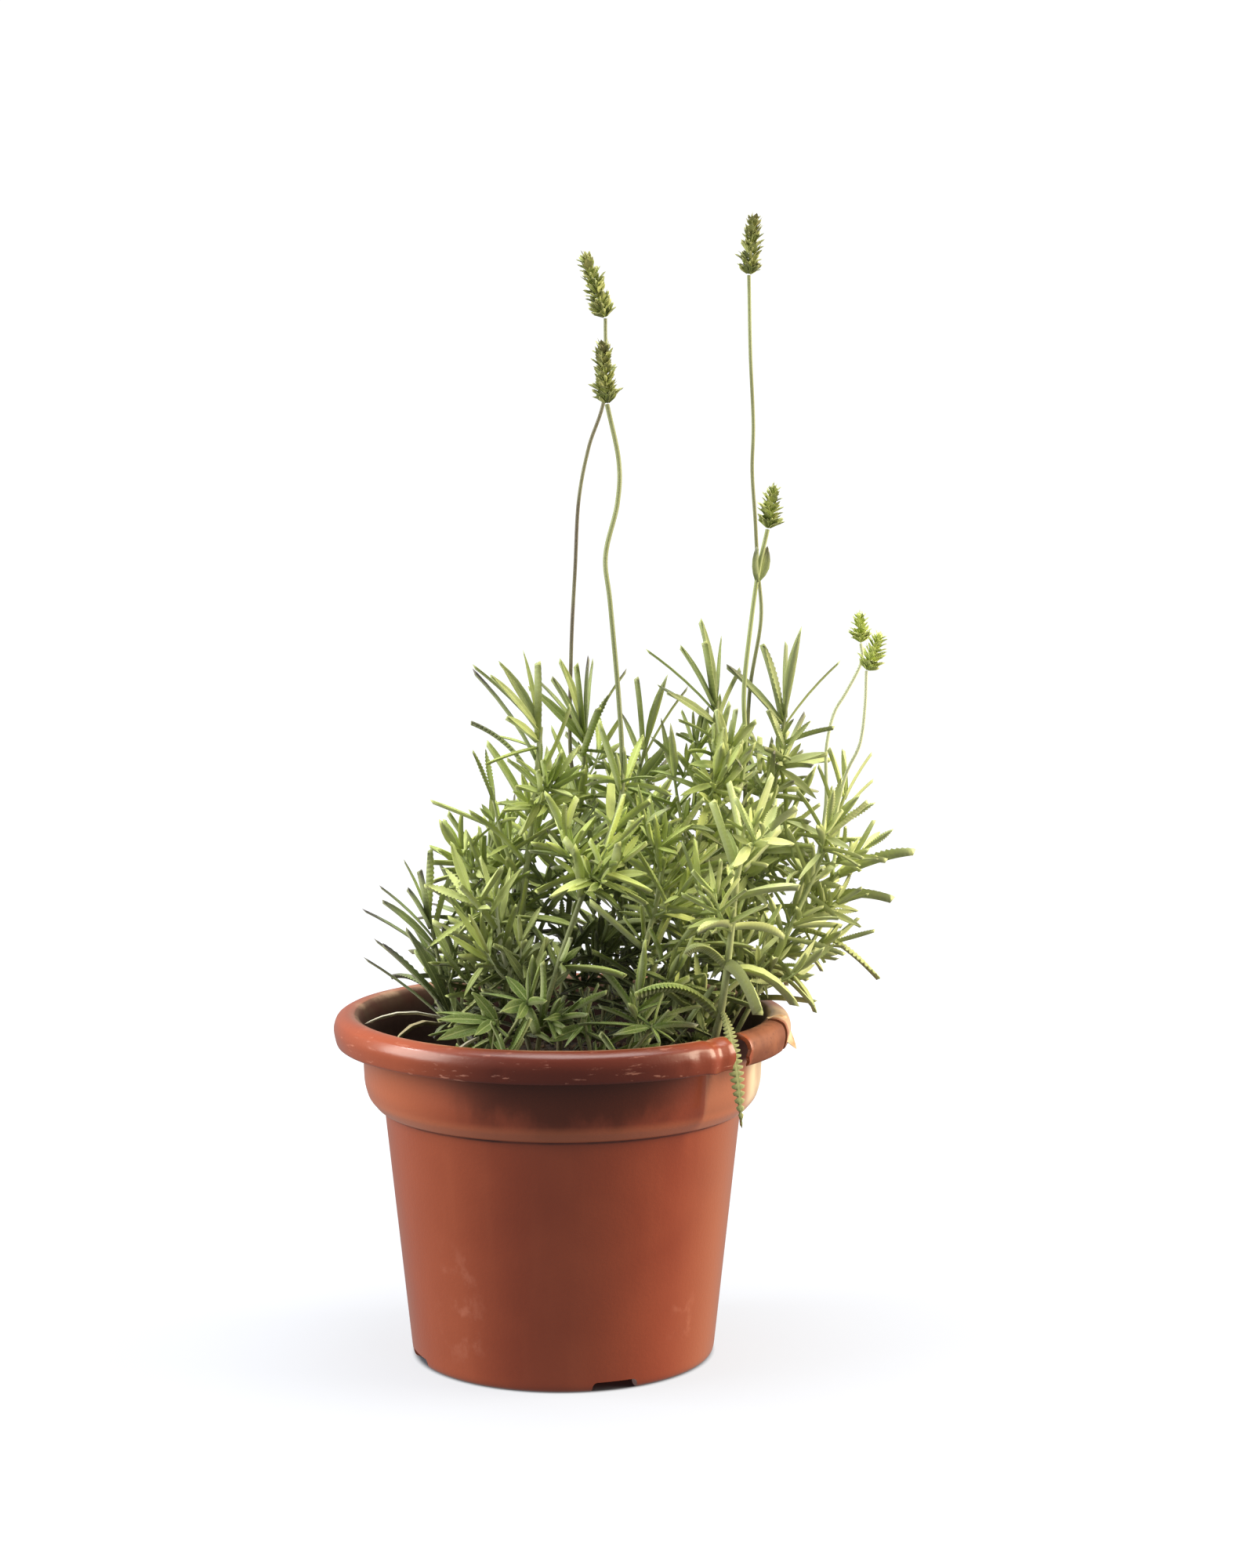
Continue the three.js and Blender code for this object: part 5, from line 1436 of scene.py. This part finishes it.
def soil_crumb_tree():
    """Strews lumps and chips of several sizes over the soil's top."""
    tree, given, result = new_growth_tree("soil_crumbs", [
        ("Density", "Float", 90000.0),
        ("Seed", "Int", 4),
        ("Lump", "Object", None),
        ("Chip", "Object", None),
        ("Smallest", "Float", 0.0006),
        ("Largest", "Float", 0.0022),
        ("Lowest Crumb", "Float", 0.116),
        ("Finish", "Material", None),
    ])

    def drawn(low, high, seed):
        return made(tree, "FunctionNodeRandomValue", {2: low, 3: high, "Seed": seed}, 1)

    _, _, tilt = split(made(tree, "GeometryNodeInputNormal"))
    _, _, high = split(made(tree, "GeometryNodeInputPosition"))
    facing = made(tree, "FunctionNodeCompare", {0: tilt, 1: 0.5}, operation="GREATER_THAN")
    upper = made(tree, "FunctionNodeCompare", {0: high, 1: given["Lowest Crumb"]}, operation="GREATER_THAN")
    spots = made(tree, "GeometryNodeDistributePointsOnFaces", {
        "Mesh": given["Geometry"], "Density": given["Density"], "Seed": given["Seed"],
        "Selection": made(tree, "FunctionNodeBooleanMath", {0: facing, 1: upper}, operation="AND"),
    }, distribute_method="RANDOM")
    crumbs = []
    for label, chance, shift in (("Lump", 0.7, 1), ("Chip", 0.3, 2)):
        size = made(tree, "ShaderNodeMapRange", {
            "Value": maths("POWER", drawn(0.0, 1.0, shift + 20), 2.2),
            "To Min": given["Smallest"], "To Max": given["Largest"],
        })
        chosen = made(tree, "FunctionNodeRandomValue", {"Probability": chance, "Seed": shift}, 3,
                      data_type="BOOLEAN")
        turn = made(tree, "FunctionNodeRandomValue", {0: (0, 0, 0), 1: (6.3, 6.3, 6.3), "Seed": shift + 10},
                    data_type="FLOAT_VECTOR")
        placed = made(tree, "GeometryNodeInstanceOnPoints", {
            "Points": spots, "Selection": chosen, "Instance": shape_of(given[label]), "Rotation": turn,
            "Scale": evenly(size),
        })
        crumbs.append(made(tree, "GeometryNodeStoreNamedAttribute", {
            "Geometry": placed, "Name": "crumb", "Value": drawn(0.05, 1.0, shift + 30),
        }, domain="INSTANCE", data_type="FLOAT"))
    feed(result, coated(real(joined(given["Geometry"], *crumbs)), given["Finish"]))
    return tree


# ---- shared effects of the finishes ----
def linear(red, green, blue):
    """A colour given as it looks, 0 to 255, as the shader's linear values."""
    def one(c):
        c /= 255
        return c / 12.92 if c <= 0.04045 else ((c + 0.055) / 1.055) ** 2.4
    return (one(red), one(green), one(blue), 1)


def new_effect(name, inputs, outputs):
    group = bpy.data.node_groups.new(name, "ShaderNodeTree")
    for label, kind, value in inputs:
        socket = group.interface.new_socket(label, in_out="INPUT", socket_type="NodeSocket" + kind)
        socket.default_value = value
    for label in outputs:
        group.interface.new_socket(label, in_out="OUTPUT", socket_type="NodeSocketFloat")
    return group, entries_of(group), put(group, "NodeGroupOutput").inputs


def mottle_effect():
    """Soft uneven patches: a mask from 0 to 1 between two levels of a noise."""
    group, given, result = new_effect("mottle", [
        ("Scale", "Float", 40.0), ("Detail", "Float", 3.0), ("Low", "Float", 0.35), ("High", "Float", 0.65),
        ("Stretch", "Vector", (1.0, 1.0, 1.0)),
    ], ["Mask"])
    place = vectors("MULTIPLY", made(group, "ShaderNodeTexCoord", output="Object"), given["Stretch"])
    noise = made(group, "ShaderNodeTexNoise", {
        "Vector": place, "Scale": given["Scale"], "Detail": given["Detail"], "Roughness": 0.6,
    }, "Fac")
    feed(result["Mask"], band(noise, given["Low"], given["High"]))
    return group


def hair_effect():
    """The short grey down on leaves, stems and buds: a fine height and a faint pale mask."""
    group, given, result = new_effect("fine_down", [
        ("Scale", "Float", 2200.0), ("Amount", "Float", 0.3),
    ], ["Height", "Pale"])
    noise = made(group, "ShaderNodeTexNoise", {
        "Vector": made(group, "ShaderNodeTexCoord", output="Object"), "Scale": given["Scale"],
        "Detail": 2.0, "Roughness": 0.7,
    }, "Fac")
    feed(result["Height"], noise)
    feed(result["Pale"], made(group, "ShaderNodeMapRange", {
        "Value": noise, "From Min": 0.5, "From Max": 0.75, "To Max": given["Amount"],
    }))
    return group


class Finish:
    """A material under construction: plain values on the shader's own sockets, and a colour laid in coats."""

    def __init__(self, name, **plain):
        self.material = bpy.data.materials.new(name)
        self.material.use_nodes = True
        self.tree = self.material.node_tree
        self.shader = self.tree.nodes["Principled BSDF"]
        for socket, value in plain.items():
            self.shader.inputs[socket.replace("_", " ")].default_value = value

    def place(self):
        """Where a spot of the object is, in metres."""
        return split(made(self.tree, "ShaderNodeTexCoord", output="Object"))

    def figures(self, name):
        """The three figures that a point's attribute holds."""
        return split(made(self.tree, "ShaderNodeAttribute", output="Vector", attribute_name=name))

    def figure(self, name):
        return made(self.tree, "ShaderNodeAttribute", output="Fac", attribute_name=name)

    def mottle(self, **values):
        return made(self.tree, "ShaderNodeGroup", values, "Mask", node_tree=mottle)

    def mix(self, a, b, share):
        """From one colour to another, each a field or three figures from 0 to 255."""
        a, b = (linear(*colour) if isinstance(colour, tuple) else colour for colour in (a, b))
        return made(self.tree, "ShaderNodeMix", {"Factor": share, 6: a, 7: b}, 2, data_type="RGBA")

    def coat(self, colour, share):
        """Lays a colour over what is there."""
        self.colour = self.mix(self.colour, colour, share)

    def feed(self, socket, value):
        feed(self.shader.inputs[socket], value)

    def bump(self, height, strength, distance):
        self.feed("Normal", made(self.tree, "ShaderNodeBump", {
            "Height": height, "Strength": strength, "Distance": distance,
        }))

    def down(self, colour, strength, **values):
        """Fine hairs: paler over the colour, and a little raised."""
        hairs = put(self.tree, "ShaderNodeGroup", values, node_tree=fine_down).outputs
        self.coat(colour, Field(hairs["Pale"]))
        self.bump(Field(hairs["Height"]), strength, 0.0002)

    def done(self, roughness):
        self.feed("Base Color", self.colour)
        self.feed("Roughness", roughness)
        return self.material


mottle = mottle_effect()
fine_down = hair_effect()


def reach_of(x, y):
    return maths("SQRT", x * x + y * y)


def leaf_finish():
    """Downy lavender leaf: fresh to grey green, a pale midrib, a purple grey tip, with painted light at the
    right and painted shade low down and inside the clump.
    """
    finish = Finish("lavender_leaf", Sheen_Weight=0.08, Sheen_Roughness=0.5, Specular_IOR_Level=0.3)
    tint, fresh, dry = finish.figures("tone")
    across, s, lift = finish.figures("blade")
    x, y, high = finish.place()
    green = finish.mix((130, 152, 62), (206, 220, 116), tint)
    finish.colour = finish.mix((128, 142, 100), green, band(fresh, 0.0, 0.75))
    finish.coat((210, 218, 148), band(fresh, 0.75, 1.15, 0.0, 0.6))
    patches = finish.mottle(Scale=160.0, Detail=2.0)
    finish.coat((160, 174, 90), patches * 0.35)
    # painted light: paler at the right, where the brighter side lamp falls; duller at the top
    finish.coat((216, 225, 160), band(x, 0.04, 0.11, 0.0, 0.68))
    finish.coat((104, 118, 68), band(high, 0.25, 0.295, 0.0, 0.55))
    # painted shade: darker low down and deep inside the clump. A darker, deeper green on the low leaves at
    # the front over the rim
    finish.coat((60, 74, 32), band(high, 0.198, 0.145) * band(fresh, 0.85, 0.5, 0.42, 0.65))
    finish.coat((38, 50, 24), band(reach_of(x, y), 0.066, 0.038) * band(high, 0.22, 0.145, 0.0, 0.95))
    front = band(y, -0.042, -0.05) * band(x, 0.06, 0.04, 0.0, 0.85)
    finish.coat((86, 110, 32), front * band(high, 0.2, 0.17))
    # the midrib, the margins, the tip and the underside
    finish.coat((208, 218, 142), band(abs(across), 0.02, 0.14, 0.5, 0.0))
    finish.coat((212, 222, 146), band(abs(across), 0.66, 0.96, 0.0, 0.3))
    finish.coat((86, 76, 88), band(s, 0.55, 1.0) * band(fresh, 0.7, 0.05, 0.05, 0.95))
    finish.coat((166, 178, 128), band(lift, -0.3, -0.7, 0.0, 0.6))
    finish.coat((184, 172, 132), band(dry, 0.3, 0.9))
    finish.coat((218, 214, 192), band(dry, 0.95, 1.2))
    finish.down((206, 212, 180), 0.25)
    return finish.done(band(patches, 0.0, 1.0, 0.48, 0.64))


def stem_finish():
    """Square downy stem: green, flushed grey purple along the flower stalks, brown and woody at the foot."""
    finish = Finish("lavender_stem", Sheen_Weight=0.08, Specular_IOR_Level=0.35)
    purple, fresh, _ = finish.figures("tone")
    _, _, high = finish.place()
    finish.colour = finish.mix((84, 98, 48), (190, 206, 136), fresh)
    finish.coat((168, 178, 120), band(high, 0.26, 0.4, 0.0, 0.65))
    finish.coat((228, 231, 210), band(fresh, 0.9, 1.1, 0.0, 0.6))
    patches = finish.mottle(Scale=30.0, Detail=2.0)
    finish.coat((92, 78, 76), purple * band(patches, 0.0, 1.0, 0.75, 1.1) * band(high, 0.46, 0.4, 0.45, 1.0))
    finish.coat((92, 78, 54), band(high, 0.175, 0.13) * 0.7)
    finish.down((190, 190, 160), 0.3, Scale=1600.0)
    return finish.done(band(patches, 0.0, 1.0, 0.5, 0.68))


def bud_finish():
    """Flower buds without open flowers: olive to fresh green, with paler points and painted shade: dark
    specks that stand for the shaded hollows.
    """
    finish = Finish("lavender_bud", Sheen_Weight=0.1, Specular_IOR_Level=0.3)
    tint, share, fresh = finish.figures("tone")
    _, _, up = finish.figures("local")
    olive = finish.mix((92, 102, 48), (178, 182, 108), tint)
    bright = finish.mix((164, 182, 84), (222, 232, 148), tint)
    finish.colour = finish.mix(olive, bright, band(fresh, 0.1, 0.95))
    finish.coat((208, 206, 150), band(up, 0.6, 1.0) * 0.5)
    finish.coat((120, 102, 88), band(share, 0.5, 1.0) * band(fresh, 0.6, 0.1, 0.0, 0.5))
    patches = finish.mottle(Scale=420.0, Detail=1.0)
    # painted shade: dark specks for the shaded hollows between the buds, fewer on fresh heads
    finish.coat((70, 80, 34), patches * band(fresh, 0.9, 0.5, 0.05, 0.25))
    finish.down((206, 206, 160), 0.4, Scale=3000.0)
    return finish.done(band(patches, 0.0, 1.0, 0.6, 0.8))


def pot_finish():
    """Glossy terracotta-brown plastic with flow streaks, a stained band, scuffs, chips and dust, with painted
    light on its sides and the step's edge and painted shade down its inner wall.
    """
    finish = Finish("moulded_terracotta_plastic", Specular_IOR_Level=0.4, Coat_Roughness=0.2)
    x, y, z = finish.place()
    reach = reach_of(x, y)
    turn = maths("ARCTAN2", x, y * -1.0)
    patches = finish.mottle(Scale=14.0, Detail=3.0, Low=0.3, High=0.7)
    finish.colour = finish.mix((143, 63, 38), (156, 73, 45), patches)
    streaks = finish.mottle(Scale=60.0, Detail=3.0, Low=0.45, High=0.75, Stretch=(1.0, 1.0, 0.06))
    finish.coat((168, 86, 56), streaks * 0.25)
    # painted light: paler towards both sides, most at the right, where the side lamps fall
    finish.coat((180, 112, 74), band(turn, 0.65, 1.3) * band(turn, 2.9, 1.7, 0.0, 0.6))
    finish.coat((172, 90, 56), band(turn, -0.2, -0.9) * band(turn, -2.9, -1.7, 0.0, 0.4))
    # the ragged dark stain that soil and water leave under the rim
    ragged = finish.mottle(Scale=38.0, Detail=5.0, Low=0.3, High=0.7, Stretch=(1.0, 1.0, 0.5))
    middle = band(abs(turn - 0.06), 0.85, 0.3)
    foot = z + (ragged * 0.012 + middle * 0.012)
    stain = band(foot, 0.126, 0.146) * band(z, 0.1385, 0.1375) * middle
    finish.coat((54, 25, 17), stain * 0.78)
    # the rim's front is a deeper red than its ends
    rim = band(reach, 0.0885, 0.091) * band(z, 0.1365, 0.1372)
    finish.coat((74, 20, 11), rim * (middle * 0.8))
    # painted light: the band under the rim is paler past its crease at the right and at its left end; it is
    # bleached far right
    collar = band(z, 0.1105, 0.1112) * band(z, 0.1368, 0.1362)
    finish.coat((172, 112, 84), collar * (band(turn, 0.77, 0.79) * band(turn, 2.2, 1.4, 0.0, 0.65)))
    finish.coat((196, 116, 78), collar * (band(turn, -0.4, -1.1) * band(turn, -2.4, -1.5, 0.0, 0.5)))
    far = band(turn, 1.1, 1.25) * band(turn + ragged * 0.25, 1.85, 1.6, 0.0, 0.9)
    finish.coat((244, 226, 190), collar * (far * band(ragged, 0.0, 0.5, 0.6, 1.0)))
    # the slope above the step catches more light
    finish.coat((206, 120, 80), band(z, 0.1108, 0.1114) * band(z, 0.119, 0.1145) * 0.5)
    # a dark ragged line in the groove where the band steps out of the body, and a painted highlight along the
    # step's edge, strongest at the left
    groove = band(z, 0.1088, 0.1098) * band(z, 0.1106, 0.1101)
    finish.coat((52, 22, 16), groove * band(ragged, 0.0, 1.0, 0.5, 0.9))
    edge = band(z, 0.1104, 0.1108) * band(z, 0.1122, 0.1114)
    finish.coat((206, 140, 112), edge * band(turn, -0.5, -1.3, 0.08, 0.6))
    # pale scuffs low on the front left and right
    scuffs = finish.mottle(Scale=110.0, Detail=8.0, Low=0.5, High=0.72, Stretch=(1.0, 1.0, 0.8))
    left = band(abs(turn + 0.66), 0.26, 0.06) * (band(z, 0.004, 0.02) * band(z, 0.066, 0.045))
    right = band(abs(turn - 0.86), 0.16, 0.04) * (band(z, 0.014, 0.022) * band(z, 0.042, 0.032))
    worn = scuffs * largest(left, right)
    finish.coat((200, 132, 110), worn * 0.34)
    # chips and scratches on the rim, thickest along its lower edge
    chips = finish.mottle(Scale=120.0, Detail=7.0, Low=0.6, High=0.66, Stretch=(1.0, 1.0, 5.0))
    chips = chips * (band(reach, 0.0925, 0.0945) * band(z, 0.1372, 0.1378)) * band(z, 0.149, 0.139, 0.35, 1.0)
    finish.coat((214, 150, 128), chips * 0.55)
    # the inner wall, a dull dusty brown with painted shade that darkens it to near black towards the soil,
    # and a dusty crest
    inner = finish.figure("inside")
    dusty = finish.mottle(Scale=55.0, Detail=5.0, Low=0.35, High=0.7)
    dull = finish.mix((80, 43, 29), (88, 71, 50), dusty)
    finish.coat(finish.mix((12, 9, 6), dull, band(z, 0.138, 0.15, 0.0, 0.75)), inner * 0.92)
    crest = band(z, 0.1488, 0.1512) * band(reach, 0.0945, 0.0915)
    finish.coat((198, 160, 128), crest * band(dusty, 0.0, 1.0, 0.15, 0.7))
    # the loose chunk between the breaks, faded and specked, and the bleached rim beyond it
    chunk = band(turn, 0.93, 0.96) * (band(turn, 1.36, 1.32) * band(z, 0.136, 0.138))
    specks = finish.mottle(Scale=300.0, Detail=4.0, Low=0.58, High=0.66)
    faded = finish.mix((104, 58, 39), (140, 87, 60), dusty)
    finish.coat(finish.mix(faded, (92, 50, 36), specks * 0.7), chunk * 0.85)
    bleached = band(turn, 1.36, 1.4) * (band(turn, 1.75, 1.6) * rim)
    finish.coat((232, 200, 160), bleached * band(dusty, 0.0, 1.0, 0.75, 1.0))
    matt = largest(inner, chunk, worn, chips)
    finish.feed("Coat Weight", band(largest(matt, stain * 0.8, rim * middle * 0.5), 0.0, 1.0, 0.4, 0.0))
    grain = finish.mottle(Scale=480.0, Detail=4.0)
    finish.bump(grain * 0.3 + chips * -0.7, 0.25, 0.0003)
    return finish.done(band(patches, 0.0, 1.0, 0.29, 0.37) + matt * 0.35)


def flap_finish():
    """The peeled, bleached plastic of the torn tongue."""
    finish = Finish("bleached_plastic", Specular_IOR_Level=0.4)
    patches = finish.mottle(Scale=120.0, Detail=4.0)
    finish.colour = finish.mix((230, 208, 172), (190, 146, 106), patches)
    finish.bump(patches, 0.2, 0.0003)
    return finish.done(band(patches, 0.0, 1.0, 0.5, 0.75))


def soil_finish():
    """Moist potting mix: peat, bark crumbs of several browns and a few pale grains."""
    finish = Finish("moist_potting_mix", Specular_IOR_Level=0.3)
    crumb = finish.figure("crumb")
    patches = finish.mottle(Scale=260.0, Detail=5.0)
    finish.colour = finish.mix((26, 20, 14), (52, 40, 28), patches)
    finish.coat((84, 62, 40), band(crumb, 0.4, 0.96, 0.0, 0.8))
    finish.coat((186, 178, 160), band(crumb, 0.978, 0.985))
    finish.bump(patches, 0.5, 0.0008)
    return finish.done(band(patches, 0.0, 1.0, 0.75, 0.95))


def studio_finish():
    """White paper that glows, with painted shadow: its glow is none under the pot and grows outwards, which
    paints the pot's contact shadow and a soft shadow round it and lets the horizon melt away.
    """
    finish = Finish("pale_studio_paper", Specular_IOR_Level=0.1, Roughness=0.9, Emission_Strength=1.0)
    x, y, _ = finish.place()
    reach = reach_of(x, y)
    patches = finish.mottle(Scale=3.0, Detail=1.0)
    finish.feed("Base Color", finish.mix((98, 103, 112), (101, 106, 115), patches))
    # painted shadow: a dimmer glow near the pot and none under it
    glow = finish.mix((222, 222, 223), (253, 253, 253), band(reach, 0.06, 0.8))
    finish.feed("Emission Color", finish.mix((0, 0, 0), glow, band(reach, 0.0635, 0.0675)))
    return finish.material


# ---- the studio ----
def studio_sweep():
    """A round floor whose edge curves up into a wall; only the camera sees it."""
    turns, edge, bend, top = 48, 2.2, 0.8, 4.4
    points, faces = [(0, 0, 0)], []
    wall = [(edge, 0.0)]
    for a in np.linspace(0.15, math.pi / 2, 10):
        wall.append((edge + bend * math.sin(a), bend - bend * math.cos(a)))
    for radius, height in [*wall, (edge + bend, top)]:
        for k in range(turns):
            angle = 2 * math.pi * k / turns
            points.append((radius * math.cos(angle), radius * math.sin(angle), height))
    for k in range(turns):
        beside = (k + 1) % turns
        faces.append((0, 1 + k, 1 + beside))
        for row in range(1, 1 + turns * len(wall), turns):
            faces.append((row + k, row + turns + k, row + turns + beside, row + beside))
    mesh = mesh_of("studio_sweep", points, faces)
    mesh.materials.append(studio_finish())
    sweep = bpy.data.objects.new("studio_sweep", mesh)
    scene.collection.objects.link(sweep)
    sweep.visible_diffuse = False
    sweep.visible_glossy = False
    sweep.visible_shadow = False


def lamp(name, place, size, watts, colour):
    """A square soft light that looks at the middle of the plant."""
    light = bpy.data.lights.new(name, "AREA")
    light.size = size
    light.energy = watts
    light.color = colour
    holder = bpy.data.objects.new(name, light)
    holder.location = place
    holder.rotation_euler = (Vector((0.02, 0, 0.18)) - Vector(place)).to_track_quat("-Z", "Y").to_euler()
    scene.collection.objects.link(holder)


def build_studio():
    studio_sweep()
    world = bpy.data.worlds.new("studio_air")
    scene.world = world
    world.use_nodes = True
    world.node_tree.nodes["Background"].inputs["Color"].default_value = (1, 1, 1, 1)
    world.node_tree.nodes["Background"].inputs["Strength"].default_value = 0.3
    lamp("left_softbox", (-1.35, -0.3, 0.7), 1.0, 25, (1.0, 0.95, 0.88))
    lamp("right_softbox", (1.3, -0.05, 0.6), 0.9, 34, (1.0, 0.86, 0.66))
    lamp("top_softbox", (0.1, 0.05, 1.7), 1.2, 30, (1.0, 1.0, 0.97))
    lamp("streak_light", (-1.1, 0.1, 1.1), 0.22, 5, (1.0, 1.0, 1.0))
    scene.view_settings.view_transform = "Standard"
    scene.view_settings.look = "None"


def place_camera():
    """Looks a little down on the pot from 1.3 m in front; found from the ellipses of the rim and the foot."""
    camera = bpy.data.cameras.new("photo_camera")
    camera.sensor_width = 36
    camera.lens = 69.25
    holder = bpy.data.objects.new("photo_camera", camera)
    holder.location = (0.0281, -1.3, 0.392)
    holder.rotation_euler = (math.radians(90 - 6.2), 0, 0)
    scene.collection.objects.link(holder)
    scene.camera = holder


# ---- the whole object ----
def build_pot(tree, plastic):
    profile = eased(pot_profile(), CORNER_EASE)
    cutters = {
        "Drain Cutter": tool("drain", drain_cutter()),
        "Notch Cutter": tool("notch", notch_cutter()),
        "Break Cutter": tool("break", break_cutter()),
    }
    piece = run_tree("pot_fine", profile_mesh("pot_profile", profile), tree, {
        **cutters, "Sides": POT_SIDES, "Profile Points": len(profile), "Drain Count": DRAIN["count"],
        "Drain Ring": DRAIN["ring"] * MM, "Notch Count": FOOT_NOTCH["count"],
        "First Notch": math.radians(FOOT_NOTCH["first"]), "Finish": plastic,
    })
    remove(cutters)
    wear_pot(piece.data)
    piece.data.set_sharp_from_angle(angle=math.radians(42))
    return dress(piece, "pot_plastic", "pot")


def build_soil(turning, mix):
    profile = soil_profile()
    body = run_tree("soil_body", profile_mesh("soil_profile", profile), turning, {
        "Sides": 120, "Profile Points": len(profile), "Drain Count": 0, "Notch Count": 0, "Finish": mix,
    })
    lay_soil(body.data)
    mesh = body.data.copy()
    bpy.data.objects.remove(body)
    crumbs = {
        "Lump": tool("lump", crumb_mesh("lump", 3, (1, 0.9, 0.75))),
        "Chip": tool("chip", crumb_mesh("chip", 8, (1.9, 0.7, 0.35))),
    }
    piece = run_tree("soil_fine", mesh, soil_crumb_tree(), {**crumbs, "Finish": mix})
    remove(crumbs)
    return dress(piece, "potting_soil", "soil")


def build_plant():
    blades = {label: tool(label, mesh) for label, mesh in BLADES.items()}
    leafy = leafy_shoot_tree()
    values = {**blades, "Stem Finish": stem_finish(), "Leaf Finish": leaf_finish()}
    for shoot, plan in zip(SHOOTS, plan_plant()):
        shoot_piece(shoot, plan, leafy, values)
    remove(blades)
    parts = {"Calyx": tool("calyx", calyx_mesh()), "Bract": tool("bract", bract_mesh()),
             "Wisp": tool("wisp", wisp_mesh())}
    spike = flower_spike_tree()
    values = {**parts, "Bud Finish": bud_finish()}
    heads = [own for shoot in SHOOTS for own in shoot["stems"] if "head" in own]
    for number, own in enumerate(heads):
        head_piece(own, number, spike, values)
    remove(parts)


place_camera()
build_studio()
turning = turned_body_tree()
build_pot(turning, pot_finish())
rim_flap(flap_finish())
build_soil(turning, soil_finish())
build_plant()
